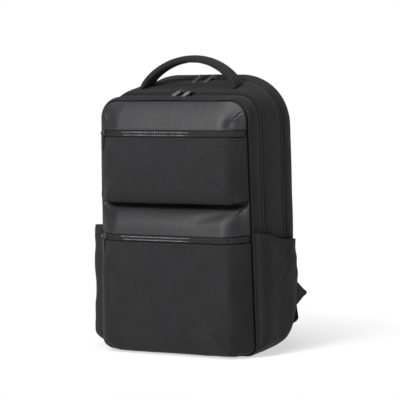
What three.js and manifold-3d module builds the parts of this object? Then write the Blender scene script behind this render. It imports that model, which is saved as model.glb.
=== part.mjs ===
import * as THREE from 'three';
import Module from 'manifold-3d';
import { mergeVertices } from 'three/addons/utils/BufferGeometryUtils.js';

// A laptop backpack that stands on its flat base. Millimetres, +Z up, the front faces -Y.
// The origin is the middle of the flat base. Depths are counted backwards from the front seam.

const wasm = await Module();
wasm.setup();

// Body of the bag
const frontHeight = 420;
const backHeight = 457;
const topWidth = 276;
const baseWidth = 292;
const gussetSwell = 8;
const frontGusset = 32;
const middleGusset = 62;
const rearGusset = 32;
const frontCornerRadius = 32;
const backCornerRadius = 86;
const frontBaseRadius = 19;
const backBaseRadius = 54;
const backLift = 36;
const frontRim = 6;
const backEdgeRadius = 8;
const footSwell = 0.4;
const clothWall = 3;
const basePadding = 3;
const gap = 0.3;

// Zip tracks of the two compartments
const zipWidth = 10;
const zipEndHeight = 172;
const zipRecess = 0.9;
const zipTape = 1;
const coilWidth = 3.4;
const coilCrown = 0.7;
const coilHeight = 1.5;

// Front pockets
const pocketWall = 2.4;
const seamInset = 2;
const upperBulge = 30;
const lowerBulge = 36;
const upperZipDrop = 48;
const foldHeight = 251;
const foldTuck = 3;
const lowerZipHeight = 199;
const pocketZipWidth = 12;
const hipRamp = 46;
const sideRamp = 30;
const floorClearance = 1.5;
const stripClearance = 0.5;
const garageLength = 22;
const garageWall = 0.8;
const garageEnd = 0.985;
const garageInset = 0.12;

// Side pockets
const leftPocketHeight = 211;
const rightPocketHeight = 205;
const sidePocketDrop = 24;
const leftPocketBulge = 26;
const rightPocketBulge = 13.5;
const leftPocketSag = 1;
const rightPocketSag = 0;
const sidePocketFront = 0.6;
const sidePocketFloor = 8;
const sidePocketWall = 1.6;
const hemHeight = 12;
const hemThickness = 2.8;

// Carrying handle
const handleSpan = 175;
const handleRise = 47.5;
const handleFullness = 1.5;
const handleLean = 4;
const handleWidth = 27;
const handleFootWidth = 35;
const handleThickness = 12;
const handlePlace = 0.4;

// Zip sliders and pulls
const sliderLength = 8;
const sliderWidth = 7;
const sliderHeight = 2.6;
const bridgeHeight = 4.4;
const bridgeLength = 5.8;
const bridgeTaper = 0.8;
const bridgeWidth = 2.6;
const bridgeWire = 1.2;
const bridgeSink = 0.2;
const eyeWidth = 3.2;
const eyeFoot = 0.8;
const eyeCorner = 0.5;
const pullLength = 25;
const pullWidth = 7.5;
const hangingPullLength = 31;
const hangingPullWidth = 5.5;
const pullThickness = 1.5;
const pullBar = 1.3;
const pullEye = 3.6;
const pullEyePlay = 0.6;
const pullCorner = 1.2;
const upperSliderPlace = -0.9;
const lowerSliderPlace = -0.868;

// Back pad
const padSideMargin = 30;
const padTopMargin = 44;
const padBottom = 46;
const padThickness = 8;
const padCornerRadius = 60;

// Shoulder straps and their webbing
const strapWidth = 62;
const strapThickness = 8;
const strapRootDrop = 25;
const strapRootX = 52;
const strapEndX = 98;
const strapEndHeight = 158;
const strapBow = 44;
const webbingWidth = 25;
const webbingThickness = 1.6;
const slotPlay = 1;
const lockSide = 4.5;
const lockLength = 26;
const lockThickness = 5;
const lockBar = 5;
const lockCorner = 3;
const wingHeight = 92;
const wingReach = 36;
const wingSwing = 18;
const wingInset = 22;
const wingFoot = 40;
const wingThickness = 3;
const wingTip = 4;
const wingSeam = 14;
const seamAcross = 0.38;
const seamUp = 0.36;
const tailLength = 126;
const tailSwing = 33;

const bodyDepth = frontGusset + middleGusset + rearGusset + 2 * zipWidth;
const middleStart = frontGusset + zipWidth;
const rearZipStart = middleStart + middleGusset;
const rearStart = rearZipStart + zipWidth;
const baseCentre = (frontRim + rearZipStart) / 2;
const upperZipHeight = frontHeight - upperZipDrop;
const lowerPocketTop = foldHeight + foldTuck;
const sidePocketBack = bodyDepth - backEdgeRadius;
const handleDepth = middleStart + handlePlace * middleGusset;
const padWidth = baseWidth - 2 * padSideMargin;
const padHeight = backHeight - padTopMargin - padBottom;
const strapRootHeight = backHeight - strapRootDrop;
const lockWidth = webbingWidth + 2 * (slotPlay + lockSide);
const wingRootX = baseWidth / 2 - wingInset;

// Cross sections of the bag. depth is in millimetres, every other column is a share:
// rise of the extra height of the back, swell of gussetSwell, corner and base of the way from the
// front radius to the back radius, lift of backLift.
const bodySections = [
  { depth: 0, rise: 0, swell: 0, corner: 0, lift: 0.06, base: 0 },
  { depth: frontRim, rise: 0.08, swell: 0.25, corner: 0, lift: 0, base: 0.05 },
  { depth: frontGusset, rise: 0.18, swell: 0.5, corner: 0.12, lift: 0, base: 0.12 },
  { depth: middleStart, rise: 0.34, swell: 0.55, corner: 0.18, lift: 0, base: 0.15 },
  { depth: middleStart + middleGusset / 2, rise: 0.54, swell: 0.6, corner: 0.38, lift: 0, base: 0.25 },
  { depth: rearZipStart, rise: 0.8, swell: 0.8, corner: 0.74, lift: 0, base: 0.42 },
  { depth: rearStart, rise: 0.84, swell: 0.9, corner: 0.87, lift: 0, base: 0.52 },
  { depth: rearStart + rearGusset / 2, rise: 0.96, swell: 1, corner: 0.97, lift: 0.32, base: 0.8 },
  { depth: bodyDepth - backEdgeRadius, rise: 1, swell: 1, corner: 1, lift: 0.62, base: 0.95 },
  { depth: bodyDepth, rise: 1, swell: 1, corner: 1, lift: 0.8, base: 1 },
];

const canvasMaterial = new THREE.MeshStandardMaterial({ color: 0x2f2f31, roughness: 0.92, metalness: 0 });
const smoothMaterial = new THREE.MeshStandardMaterial({ color: 0x3c3c3f, roughness: 0.5, metalness: 0 });
const meshMaterial = new THREE.MeshStandardMaterial({ color: 0x262628, roughness: 0.95, metalness: 0 });
const tapeMaterial = new THREE.MeshStandardMaterial({ color: 0x1d1d1f, roughness: 0.7, metalness: 0 });
const webMaterial = new THREE.MeshStandardMaterial({ color: 0x202022, roughness: 0.85, metalness: 0 });
const metalMaterial = new THREE.MeshStandardMaterial({ color: 0x55565a, roughness: 0.35, metalness: 0.9 });
const rubberMaterial = new THREE.MeshStandardMaterial({ color: 0x18181a, roughness: 0.55, metalness: 0 });
const plasticMaterial = new THREE.MeshStandardMaterial({ color: 0x1b1b1d, roughness: 0.45, metalness: 0 });

const backpack = new THREE.Group();

const mix = (a, b, share) => a + (b - a) * share;
const clamp = (value) => Math.min(1, Math.max(0, value));
const yOf = (depth) => depth - baseCentre;

function addPiece(name, geometry, material) {
  const mesh = new THREE.Mesh(geometry, material);
  mesh.name = name;
  backpack.add(mesh);
  return mesh;
}

// Turns a list of triangles right way out and makes them one geometry.
function closedGeometry(points, triangles) {
  let volume = 0;
  for (const [a, b, c] of triangles) {
    volume += points[a].dot(new THREE.Vector3().crossVectors(points[b], points[c]));
  }
  const index = triangles.flatMap(([a, b, c]) => (volume < 0 ? [a, c, b] : [a, b, c]));
  const geometry = new THREE.BufferGeometry();
  geometry.setAttribute('position', new THREE.Float32BufferAttribute(points.flatMap((p) => p.toArray()), 3));
  geometry.setIndex(index);
  return geometry;
}

// Skins a row of rings that all have the same number of points. A closed row joins its last ring
// to its first, and an open row is capped with a fan at each end.
function skinRings(rings, closedRow) {
  const count = rings[0].length;
  const points = rings.flat();
  const triangles = [];
  const last = closedRow ? rings.length : rings.length - 1;
  for (let r = 0; r < last; r += 1) {
    const here = r * count;
    const next = ((r + 1) % rings.length) * count;
    for (let i = 0; i < count; i += 1) {
      const j = (i + 1) % count;
      triangles.push([here + i, here + j, next + j], [here + i, next + j, next + i]);
    }
  }
  if (!closedRow) {
    addFan(points, triangles, 0, count, false);
    addFan(points, triangles, (rings.length - 1) * count, count, true);
  }
  return closedGeometry(points, triangles);
}

function addFan(points, triangles, start, count, forward) {
  const middle = new THREE.Vector3();
  for (let i = 0; i < count; i += 1) {
    middle.addScaledVector(points[start + i], 1 / count);
  }
  const hub = points.push(middle) - 1;
  for (let i = 0; i < count; i += 1) {
    const a = start + i;
    const b = start + (i + 1) % count;
    triangles.push(forward ? [a, b, hub] : [b, a, hub]);
  }
}

// A sheet of cloth over a surface(u, v), with its outer face raised by proud and its thickness inwards.
function clothSheet(surface, us, vs, thickness, proud = () => 0) {
  const outer = [];
  const inner = [];
  for (const v of vs) {
    for (const u of us) {
      const normal = surfaceNormal(surface, u, v);
      const point = surface(u, v).addScaledVector(normal, proud(u, v));
      outer.push(point);
      inner.push(point.clone().addScaledVector(normal, -thickness));
    }
  }
  const columns = us.length;
  const rows = vs.length;
  const size = outer.length;
  const triangles = [];
  for (let r = 0; r + 1 < rows; r += 1) {
    for (let c = 0; c + 1 < columns; c += 1) {
      const a = r * columns + c;
      const b = a + columns;
      triangles.push([a, b, a + 1], [a + 1, b, b + 1]);
      triangles.push([size + a, size + a + 1, size + b], [size + a + 1, size + b + 1, size + b]);
    }
  }
  const border = sheetBorder(columns, rows);
  border.forEach((a, i) => {
    const b = border[(i + 1) % border.length];
    triangles.push([a, b, size + b], [a, size + b, size + a]);
  });
  return closedGeometry([...outer, ...inner], triangles);
}

function sheetBorder(columns, rows) {
  const border = [];
  for (let c = 0; c < columns - 1; c += 1) border.push(c);
  for (let r = 0; r < rows - 1; r += 1) border.push(r * columns + columns - 1);
  for (let c = columns - 1; c > 0; c -= 1) border.push((rows - 1) * columns + c);
  for (let r = rows - 1; r > 0; r -= 1) border.push(r * columns);
  return border;
}

function surfaceNormal(surface, u, v) {
  const step = 1e-3;
  const across = surface(u + step, v).sub(surface(u - step, v));
  const down = surface(u, v + step).sub(surface(u, v - step));
  return new THREE.Vector3().crossVectors(down, across).normalize();
}

// Reads a table row between its rows, by its key column.
function readTable(table, key, value) {
  let i = 0;
  while (i + 2 < table.length && table[i + 1][key] < value) i += 1;
  const [a, b] = [table[i], table[i + 1]];
  const share = (value - a[key]) / (b[key] - a[key]);
  const row = {};
  for (const column of Object.keys(a)) row[column] = mix(a[column], b[column], share);
  return row;
}

const spread = (from, to, steps) => Array.from({ length: steps + 1 }, (_, i) => mix(from, to, i / steps));

// Half the width of the front of the bag at a height, without its corners.
const halfWidthAt = (z) => mix(topWidth, baseWidth, (frontHeight - z) / frontHeight) / 2;

// The rounded outline of the bag at a depth, moved inwards by inset.
function bodyFrame(depth, inset) {
  const row = readTable(bodySections, 'depth', depth);
  const swellAt = (z) => row.swell * gussetSwell * mix(footSwell, 1, z / frontHeight);
  const half = (z) => halfWidthAt(z) + swellAt(z) - inset;
  const top = frontHeight + row.rise * (backHeight - frontHeight) - inset;
  const bottom = row.lift * backLift + inset;
  const corner = mix(frontCornerRadius, backCornerRadius, row.corner) - inset;
  const base = mix(frontBaseRadius, backBaseRadius, row.base) - inset;
  return {
    top,
    bottom,
    corner,
    base,
    half,
    cornerX: half(top - corner) - corner,
    baseX: half(bottom + base) - base,
  };
}

const cornerSteps = 7;
const baseSteps = 4;
const tongueStep = 1;

// Heights of the points down a side, as shares of its upper part and of its lower part.
const upperSideShares = [0.35, 0.7];
const lowerSideShare = 0.5;

// Right half of the outline, from the middle of the top to the middle of the base. Inside, the padding
// of the base lies on its wall.
function rightOutline(depth, inset = 0) {
  const frame = bodyFrame(depth, inset);
  const points = [];
  for (const share of [0, 1 / 3, 2 / 3]) {
    points.push([frame.cornerX * share, frame.top]);
  }
  for (const angle of spread(Math.PI / 2, 0, cornerSteps)) {
    const x = frame.cornerX + frame.corner * Math.cos(angle);
    points.push([x, frame.top - frame.corner + frame.corner * Math.sin(angle)]);
  }
  const sideTop = frame.top - frame.corner;
  const sideFoot = frame.bottom + frame.base;
  const heights = [
    ...upperSideShares.map((share) => mix(sideTop, zipEndHeight, share)),
    zipEndHeight + tongueStep,
    zipEndHeight,
    mix(zipEndHeight, sideFoot, lowerSideShare),
  ];
  for (const z of heights) points.push([frame.half(z), z]);
  for (const angle of spread(0, Math.PI / 2, baseSteps)) {
    const x = frame.baseX + frame.base * Math.cos(angle);
    points.push([x, frame.bottom + frame.base - frame.base * Math.sin(angle)]);
  }
  for (const share of [0.6, 0.3, 0]) points.push([frame.baseX * share, frame.bottom]);
  if (inset <= 0) return points;
  const floor = frame.bottom + basePadding * Math.min(1, inset / clothWall);
  return points.map(([x, z]) => [x, Math.max(z, floor)]);
}

// Place in the outline of the point just above the end of a zip.
const tongueIndex = 3 + cornerSteps + 1 + 2;

// The whole outline as a ring. depthOf gives the depth of each point by its place in the right half.
function bodyRing(depthOf, inset = 0) {
  const place = typeof depthOf === 'function' ? depthOf : () => depthOf;
  const count = rightOutline(0).length;
  const right = [];
  for (let i = 0; i < count; i += 1) {
    const [x, z] = rightOutline(place(i), inset)[i];
    right.push(new THREE.Vector3(x, yOf(place(i)), z));
  }
  const left = right.slice(1, -1).reverse().map((p) => new THREE.Vector3(-p.x, p.y, p.z));
  return [...right, ...left];
}

// The rounded front rim. Both columns are shares of frontRim.
const rimSections = [
  { depth: 0, inset: 0.67 },
  { depth: 0.2, inset: 0.17 },
  { depth: 1, inset: 0 },
];

// Front compartment: the wall behind the front pockets and the front gusset.
function frontCompartment() {
  const edge = frontGusset - gap / 2;
  const middle = mix(frontRim, edge, 0.5);
  const rings = [
    ...rimSections.map(({ depth, inset }) => bodyRing(depth * frontRim, inset * frontRim)),
    bodyRing(middle),
    bodyRing(edge),
    bodyRing(edge, clothWall),
    bodyRing(middle, clothWall),
    bodyRing(frontRim, clothWall),
    bodyRing(clothWall, clothWall + rimSections[0].inset * frontRim),
  ];
  return skinRings(rings, false);
}

// Middle gusset: a ring of cloth between the two zips, whose tongues fill the places below their ends.
function middleRing() {
  const front = (i) => (i <= tongueIndex ? middleStart : frontGusset) + gap / 2;
  const back = (i) => (i <= tongueIndex ? rearZipStart : rearStart) - gap / 2;
  const stops = [0, 0.25, 0.5, 0.75, 1];
  const place = (share) => (i) => mix(front(i), back(i), share);
  const rings = [
    ...stops.map((share) => bodyRing(place(share))),
    ...stops.toReversed().map((share) => bodyRing(place(share), clothWall)),
  ];
  return skinRings(rings, true);
}

// Laptop compartment: the rear gusset, its rounded edge and the back wall.
function laptopCompartment() {
  const edge = rearStart + gap / 2;
  const roundStart = bodyDepth - backEdgeRadius;
  const rounded = (angle, wall) => bodyRing(
    roundStart + (backEdgeRadius - wall) * Math.sin(angle),
    wall + (backEdgeRadius - wall) * (1 - Math.cos(angle)),
  );
  const turns = [0, Math.PI / 6, Math.PI / 3, Math.PI / 2];
  const rings = [
    ...turns.toReversed().map((angle) => rounded(angle, 0)),
    bodyRing(mix(edge, roundStart, 0.5)),
    bodyRing(edge),
    bodyRing(edge, clothWall),
    bodyRing(mix(edge, roundStart, 0.5), clothWall),
    ...turns.map((angle) => rounded(angle, clothWall)),
  ];
  return skinRings(rings, false);
}

// Section of a zip track: across is a distance over the track, out is how far it stands out.
function zipSection(width) {
  const tapeTop = -zipRecess;
  const tapeFoot = tapeTop - zipTape;
  const middle = width / 2;
  const foot = coilWidth / 2;
  return [
    { across: 0, out: tapeFoot },
    { across: 0, out: tapeTop },
    { across: middle - foot, out: tapeTop },
    { across: middle - foot * coilCrown, out: tapeTop + coilHeight },
    { across: middle + foot * coilCrown, out: tapeTop + coilHeight },
    { across: middle + foot, out: tapeTop },
    { across: width, out: tapeTop },
    { across: width, out: tapeFoot },
  ];
}

// A zip that runs up one side of the bag, over its top and down the other side.
function zipTrack(startDepth) {
  const section = zipSection(zipWidth - gap);
  const ringAt = (i, side) => section.map(({ across, out }) => {
    const depth = startDepth + gap / 2 + across;
    const outline = rightOutline(depth, -out);
    const [x, z] = outline[i];
    const lifted = i === tongueIndex ? z + gap : z;
    return new THREE.Vector3(side * x, yOf(depth), lifted);
  });
  const rings = [];
  for (let i = tongueIndex; i > 0; i -= 1) rings.push(ringAt(i, -1));
  for (let i = 0; i <= tongueIndex; i += 1) rings.push(ringAt(i, 1));
  return skinRings(rings, false);
}

// Front pocket profiles, from the top down. down and out are shares: down of the panel's own height,
// out of the pocket's bulge. rimDown is down at the side seam. ramp mixes hipRamp into sideRamp, and
// round makes the side wall rise steeply.
const upperTopRows = [
  { down: 0, rimDown: 0, out: 0, ramp: 0, round: 0 },
  { down: 0.05, rimDown: 0.05, out: 0.06, ramp: 0, round: 0 },
  { down: 0.16, rimDown: 0.16, out: 0.16, ramp: 0, round: 0 },
  { down: 0.4, rimDown: 0.4, out: 0.34, ramp: 0, round: 0 },
  { down: 0.7, rimDown: 0.7, out: 0.53, ramp: 0, round: 0 },
  { down: 1, rimDown: 1, out: 0.7, ramp: 0.15, round: 0 },
];
const upperFaceRows = [
  { down: 0, rimDown: 0, out: 0.76, ramp: 0.35, round: 0 },
  { down: 0.12, rimDown: 0.12, out: 0.85, ramp: 0.7, round: 0.1 },
  { down: 0.3, rimDown: 0.3, out: 0.94, ramp: 1, round: 0.2 },
  { down: 0.55, rimDown: 0.53, out: 1, ramp: 1, round: 0.2 },
  { down: 0.8, rimDown: 0.77, out: 0.98, ramp: 1, round: 0.2 },
  { down: 0.91, rimDown: 0.88, out: 0.9, ramp: 1, round: 0.35 },
  { down: 0.97, rimDown: 0.912, out: 0.78, ramp: 1, round: 0.5 },
  { down: 1, rimDown: 0.926, out: 0.55, ramp: 1, round: 0.55 },
  { down: 0.985, rimDown: 0.936, out: 0.3, ramp: 1, round: 0.55 },
  { down: 0.95, rimDown: 0.945, out: 0.1, ramp: 1, round: 0.5 },
];
const lowerTopRows = [
  { down: 0, rimDown: 0, out: 0.02, ramp: 0.3, round: 0 },
  { down: 0.12, rimDown: 0.12, out: 0.12, ramp: 0.2, round: 0 },
  { down: 0.32, rimDown: 0.32, out: 0.36, ramp: 0.1, round: 0 },
  { down: 0.65, rimDown: 0.63, out: 0.64, ramp: 0.1, round: 0 },
  { down: 1, rimDown: 0.96, out: 0.79, ramp: 0.3, round: 0 },
];
const lowerFaceRows = [
  { down: 0, rimDown: -0.01, out: 0.82, ramp: 0.5, round: 0 },
  { down: 0.1, rimDown: 0.09, out: 0.9, ramp: 0.8, round: 0.1 },
  { down: 0.3, rimDown: 0.3, out: 0.98, ramp: 1, round: 0.2 },
  { down: 0.55, rimDown: 0.55, out: 1, ramp: 1, round: 0.2 },
  { down: 0.8, rimDown: 0.8, out: 0.98, ramp: 1, round: 0.2 },
  { down: 0.9, rimDown: 0.9, out: 0.93, ramp: 1, round: 0.2 },
  { down: 0.955, rimDown: 0.95, out: 0.84, ramp: 1, round: 0.3 },
  { down: 0.985, rimDown: 0.98, out: 0.68, ramp: 1, round: 0.3 },
  { down: 1, rimDown: 0.995, out: 0.4, ramp: 1, round: 0.3 },
  { down: 1, rimDown: 1, out: 0.02, ramp: 1, round: 0.3 },
];

const seamFrame = bodyFrame(0, seamInset);

// Half the width of the front panel at a height, with its rounded corners.
function panelHalf(z) {
  const { top, bottom, corner, base, half, cornerX, baseX } = seamFrame;
  const above = z - (top - corner);
  if (above > 0) return cornerX + Math.sqrt(Math.max(0, corner ** 2 - above ** 2));
  const below = bottom + base - z;
  if (below > 0) return baseX + Math.sqrt(Math.max(0, base ** 2 - below ** 2));
  return half(z);
}

// The surface of a front panel. u runs from the left seam, -1, to the right seam, 1, and v down
// the rows of the profile, a whole number at each row.
function frontPanel(rows, topZ, bottomZ, bulge) {
  return (u, v) => {
    const i = Math.min(rows.length - 2, Math.max(0, Math.floor(v)));
    const row = {};
    for (const key of Object.keys(rows[0])) row[key] = mix(rows[i][key], rows[i + 1][key], v - i);
    const rimZ = mix(topZ, bottomZ, row.rimDown);
    const half = panelHalf(Math.min(seamFrame.top, Math.max(seamFrame.bottom, rimZ)));
    const x = u * half;
    const share = (half - Math.abs(x)) / mix(hipRamp, sideRamp, row.ramp);
    const gentle = clamp(share) * (1.5 - 0.5 * clamp(share) ** 2);
    const steep = Math.sqrt(1 - (1 - clamp(share)) ** 2);
    const side = share < 0 ? share * 2 : mix(gentle, steep, row.round);
    const z = mix(rimZ, mix(topZ, bottomZ, row.down), clamp(side));
    return new THREE.Vector3(x, yOf(-gap - pocketWall - row.out * bulge * side), z);
  };
}

const panelColumns = [-1, -0.975, -0.94, -0.89, -0.82, -0.72, -0.58, -0.36, 0];
const panelUs = [...panelColumns, ...panelColumns.slice(0, -1).reverse().map((u) => -u)];

const upperFaceTop = upperZipHeight - pocketZipWidth;
const lowerFaceTop = lowerZipHeight - pocketZipWidth;
const upperTop = frontPanel(upperTopRows, seamFrame.top, upperZipHeight, upperBulge);
const upperFace = frontPanel(upperFaceRows, upperFaceTop, foldHeight, upperBulge);
const lowerTop = frontPanel(lowerTopRows, lowerPocketTop, lowerZipHeight, lowerBulge);
const lowerFace = frontPanel(lowerFaceRows, lowerFaceTop, floorClearance, lowerBulge);

// The tape of a pocket zip lies a little behind the panels above and below it, with a raised coil.
const coilReach = coilWidth / 2 / pocketZipWidth;
const pocketZipStops = [
  { down: 0, out: -zipRecess },
  { down: 0.5 - coilReach, out: -zipRecess },
  { down: 0.5 - coilReach * coilCrown, out: -zipRecess + coilHeight },
  { down: 0.5 + coilReach * coilCrown, out: -zipRecess + coilHeight },
  { down: 0.5 + coilReach, out: -zipRecess },
  { down: 1, out: -zipRecess },
];

// A zip strip between the last row of the panel above and the first row of the panel below.
function zipStrip(above, aboveEnd, below) {
  return (u, v) => above(u, aboveEnd).lerp(below(u, 0), v);
}

const stripEdge = stripClearance / pocketZipWidth;
const stripStops = pocketZipStops.map(({ down }) => mix(stripEdge, 1 - stripEdge, down));
const stripProud = (u, v) => {
  const table = pocketZipStops.map((stop, i) => ({ at: stripStops[i], out: stop.out }));
  return readTable(table, 'at', v).out;
};

// The small tab over the right end of a pocket zip.
function zipGarage(strip, height) {
  const us = spread(garageEnd - garageLength / panelHalf(height), garageEnd, 3);
  const vs = spread(garageInset, 1 - garageInset, 2);
  const proud = () => coilHeight - zipRecess + gap + garageWall;
  return clothSheet(strip, us, vs, garageWall, proud);
}

// Side pocket tables: over the pocket from front to back, and from its rim down to its floor, where
// out is for a taut pocket, sag for a slack one, and back is the share of its depth.
const pocketAcross = [
  { at: 0, out: 0 },
  { at: 0.02, out: 0 },
  { at: 0.06, out: 0.5 },
  { at: 0.12, out: 0.84 },
  { at: 0.25, out: 1 },
  { at: 0.45, out: 0.97 },
  { at: 0.65, out: 0.97 },
  { at: 0.8, out: 0.92 },
  { at: 0.92, out: 0.74 },
  { at: 0.96, out: 0.5 },
  { at: 0.985, out: 0 },
  { at: 1, out: 0 },
];
const pocketDown = [
  { at: 0, out: 0.8, sag: 0.85, back: 1 },
  { at: 0.12, out: 0.93, sag: 0.98, back: 1 },
  { at: 0.35, out: 1, sag: 1, back: 1 },
  { at: 0.6, out: 1, sag: 0.96, back: 0.96 },
  { at: 0.8, out: 0.95, sag: 1, back: 0.85 },
  { at: 0.91, out: 0.82, sag: 0.98, back: 0.73 },
  { at: 0.965, out: 0.55, sag: 0.55, back: 0.63 },
  { at: 0.985, out: 0, sag: 0, back: 0.57 },
  { at: 1, out: 0, sag: 0, back: 0.54 },
];

// Outer face of the bag's side at a depth and height.
function sideX(depth, z) {
  const { bottom, base, half, baseX } = bodyFrame(depth, 0);
  const below = bottom + base - z;
  return below > 0 ? baseX + Math.sqrt(Math.max(0, base ** 2 - below ** 2)) : half(z);
}

// The surface of a side pocket. u runs from its front seam to its back seam, v from its rim down.
function sidePocket(side, height, bulge, slack) {
  const standOff = gap + sidePocketWall;
  return (u, v) => {
    const across = readTable(pocketAcross, 'at', u);
    const down = readTable(pocketDown, 'at', v);
    const depth = mix(sidePocketFront, sidePocketBack * down.back, u);
    const z = mix(height - sidePocketDrop * u, sidePocketFloor, v);
    const fullness = across.out * mix(down.out, down.sag, slack);
    const x = sideX(Math.min(depth, bodyDepth), z) + standOff + bulge * fullness;
    return new THREE.Vector3(side * x, yOf(depth), z);
  };
}

function addSidePocket(name, side, height, bulge, slack) {
  const surface = sidePocket(side, height, bulge, slack);
  const hemShare = hemHeight / (height - sidePocketFloor);
  const hemGap = gap / (height - sidePocketFloor);
  const facing = side < 0 ? surface : (u, v) => surface(1 - u, v);
  const us = side < 0 ? pocketAcross.map(({ at }) => at) : pocketAcross.map(({ at }) => 1 - at).reverse();
  const vs = [hemShare + hemGap, ...pocketDown.map(({ at }) => at).filter((at) => at > hemShare)];
  addPiece(`side_pocket_${name}`, clothSheet(facing, us, vs, sidePocketWall), canvasMaterial);
  const proud = () => hemThickness - sidePocketWall;
  const hem = clothSheet(facing, us, [0, hemShare / 2, hemShare], hemThickness, proud);
  addPiece(`side_pocket_hem_${name}`, hem, canvasMaterial);
}

// Height of the top of the bag over a point.
function topZ(x, depth) {
  const { top, corner, cornerX } = bodyFrame(depth, 0);
  const beyond = Math.max(0, Math.abs(x) - cornerX);
  return top - corner + Math.sqrt(corner ** 2 - beyond ** 2);
}

// A rectangle with its corners cut by a share of its thickness, as a list of points, [across, through].
function roundSection(width, thickness, share) {
  const cut = Math.min(width, thickness) * share;
  const [w, t] = [width / 2, thickness / 2];
  if (cut === 0) return [[-w, -t], [-w, t], [w, t], [w, -t]];
  return [
    [-w, -t + cut], [-w, t - cut], [-w + cut, t], [w - cut, t],
    [w, t - cut], [w, -t + cut], [w - cut, -t], [-w + cut, -t],
  ];
}

const edgeCut = 0.3;

// The middle line of the handle, from its right foot to its left foot; its top leans to the right.
function handleLine(t) {
  const angle = Math.PI * (1 - t);
  const foot = topZ(handleSpan / 2, handleDepth);
  const rise = handleRise * Math.abs(Math.sin(angle)) ** handleFullness;
  const lean = handleLean * Math.sin(angle) ** 2;
  return new THREE.Vector3((handleSpan / 2) * Math.cos(angle) + lean, yOf(handleDepth), foot + rise);
}

// The padded handle: a band that arches over the middle gusset, with each foot set on the cloth.
function handleGeometry() {
  const steps = 18;
  const step = 0.01;
  const rings = spread(0, 1, steps).map((t, i) => {
    const spreadOut = (2 * Math.abs(t - 0.5)) ** 2;
    const section = roundSection(mix(handleWidth, handleFootWidth, spreadOut), handleThickness, edgeCut);
    const centre = handleLine(t);
    const along = handleLine(Math.min(1, t + step)).sub(handleLine(Math.max(0, t - step))).normalize();
    const outward = new THREE.Vector3(-along.z, 0, along.x);
    const atFoot = i === 0 || i === steps;
    return section.map(([across, through]) => {
      const point = centre.clone().addScaledVector(outward, through);
      point.y += across;
      const cloth = topZ(point.x, handleDepth + across) + 2 * gap;
      point.z = atFoot ? cloth : Math.max(point.z, cloth + gap);
      return point;
    });
  });
  return skinRings(rings, false);
}

function manifoldOf(geometry) {
  const bare = geometry.clone();
  bare.deleteAttribute('normal');
  bare.deleteAttribute('uv');
  const merged = mergeVertices(bare, 1e-4);
  const mesh = new wasm.Mesh({
    numProp: 3,
    vertProperties: new Float32Array(merged.attributes.position.array),
    triVerts: new Uint32Array(merged.index.array),
  });
  return new wasm.Manifold(mesh);
}

function geometryOf(manifold) {
  const { vertProperties, triVerts } = manifold.getMesh();
  const geometry = new THREE.BufferGeometry();
  geometry.setAttribute('position', new THREE.Float32BufferAttribute(vertProperties, 3));
  geometry.setIndex(Array.from(triVerts));
  return geometry;
}

function roundedRectangle(shape, x, y, width, height, radius) {
  shape.moveTo(x + radius, y);
  shape.lineTo(x + width - radius, y);
  shape.absarc(x + width - radius, y + radius, radius, -Math.PI / 2, 0);
  shape.lineTo(x + width, y + height - radius);
  shape.absarc(x + width - radius, y + height - radius, radius, 0, Math.PI / 2);
  shape.lineTo(x + radius, y + height);
  shape.absarc(x + radius, y + height - radius, radius, Math.PI / 2, Math.PI);
  shape.lineTo(x, y + radius);
  shape.absarc(x + radius, y + radius, radius, Math.PI, Math.PI * 1.5);
  return shape;
}

function flatPlate(shape, depth, curveSegments = 1) {
  return new THREE.ExtrudeGeometry(shape, { depth, bevelEnabled: false, curveSegments });
}

// A slider in its own frame: x is the way its pull points, z stands off the zip, and its foot is at 0.
function sliderGeometry() {
  const plate = new THREE.BoxGeometry(sliderLength, sliderWidth, sliderHeight);
  plate.translate(0, 0, sliderHeight / 2);
  const side = new THREE.Shape();
  const half = bridgeLength / 2;
  side.moveTo(-half, -bridgeSink);
  side.lineTo(half, -bridgeSink);
  side.lineTo(half * bridgeTaper, bridgeHeight);
  side.lineTo(-half * bridgeTaper, bridgeHeight);
  const eye = new THREE.Path();
  roundedRectangle(eye, -eyeWidth / 2, eyeFoot, eyeWidth, bridgeHeight - bridgeWire - eyeFoot, eyeCorner);
  side.holes.push(eye);
  const bridge = flatPlate(side, bridgeWidth);
  bridge.rotateX(Math.PI / 2);
  bridge.translate(0, bridgeWidth / 2, sliderHeight);
  return geometryOf(manifoldOf(plate).add(manifoldOf(bridge)));
}

// A pull in its own frame: the bar that goes through the slider's bridge lies along y at the origin.
function pullGeometry(length, width) {
  const tab = new THREE.Shape();
  roundedRectangle(tab, -pullBar / 2, -width / 2, length, width, pullCorner);
  const eye = new THREE.Path();
  const eyeSpan = bridgeWidth + 2 * pullEyePlay;
  roundedRectangle(eye, pullBar / 2, -eyeSpan / 2, pullEye, eyeSpan, eyeCorner);
  tab.holes.push(eye);
  return flatPlate(tab, pullThickness).translate(0, 0, -pullThickness / 2);
}

function turnTo(xWay, zWay) {
  const zAxis = zWay.clone().addScaledVector(xWay, -zWay.dot(xWay)).normalize();
  const yAxis = new THREE.Vector3().crossVectors(zAxis, xWay);
  return new THREE.Quaternion().setFromRotationMatrix(new THREE.Matrix4().makeBasis(xWay, yAxis, zAxis));
}

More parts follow.
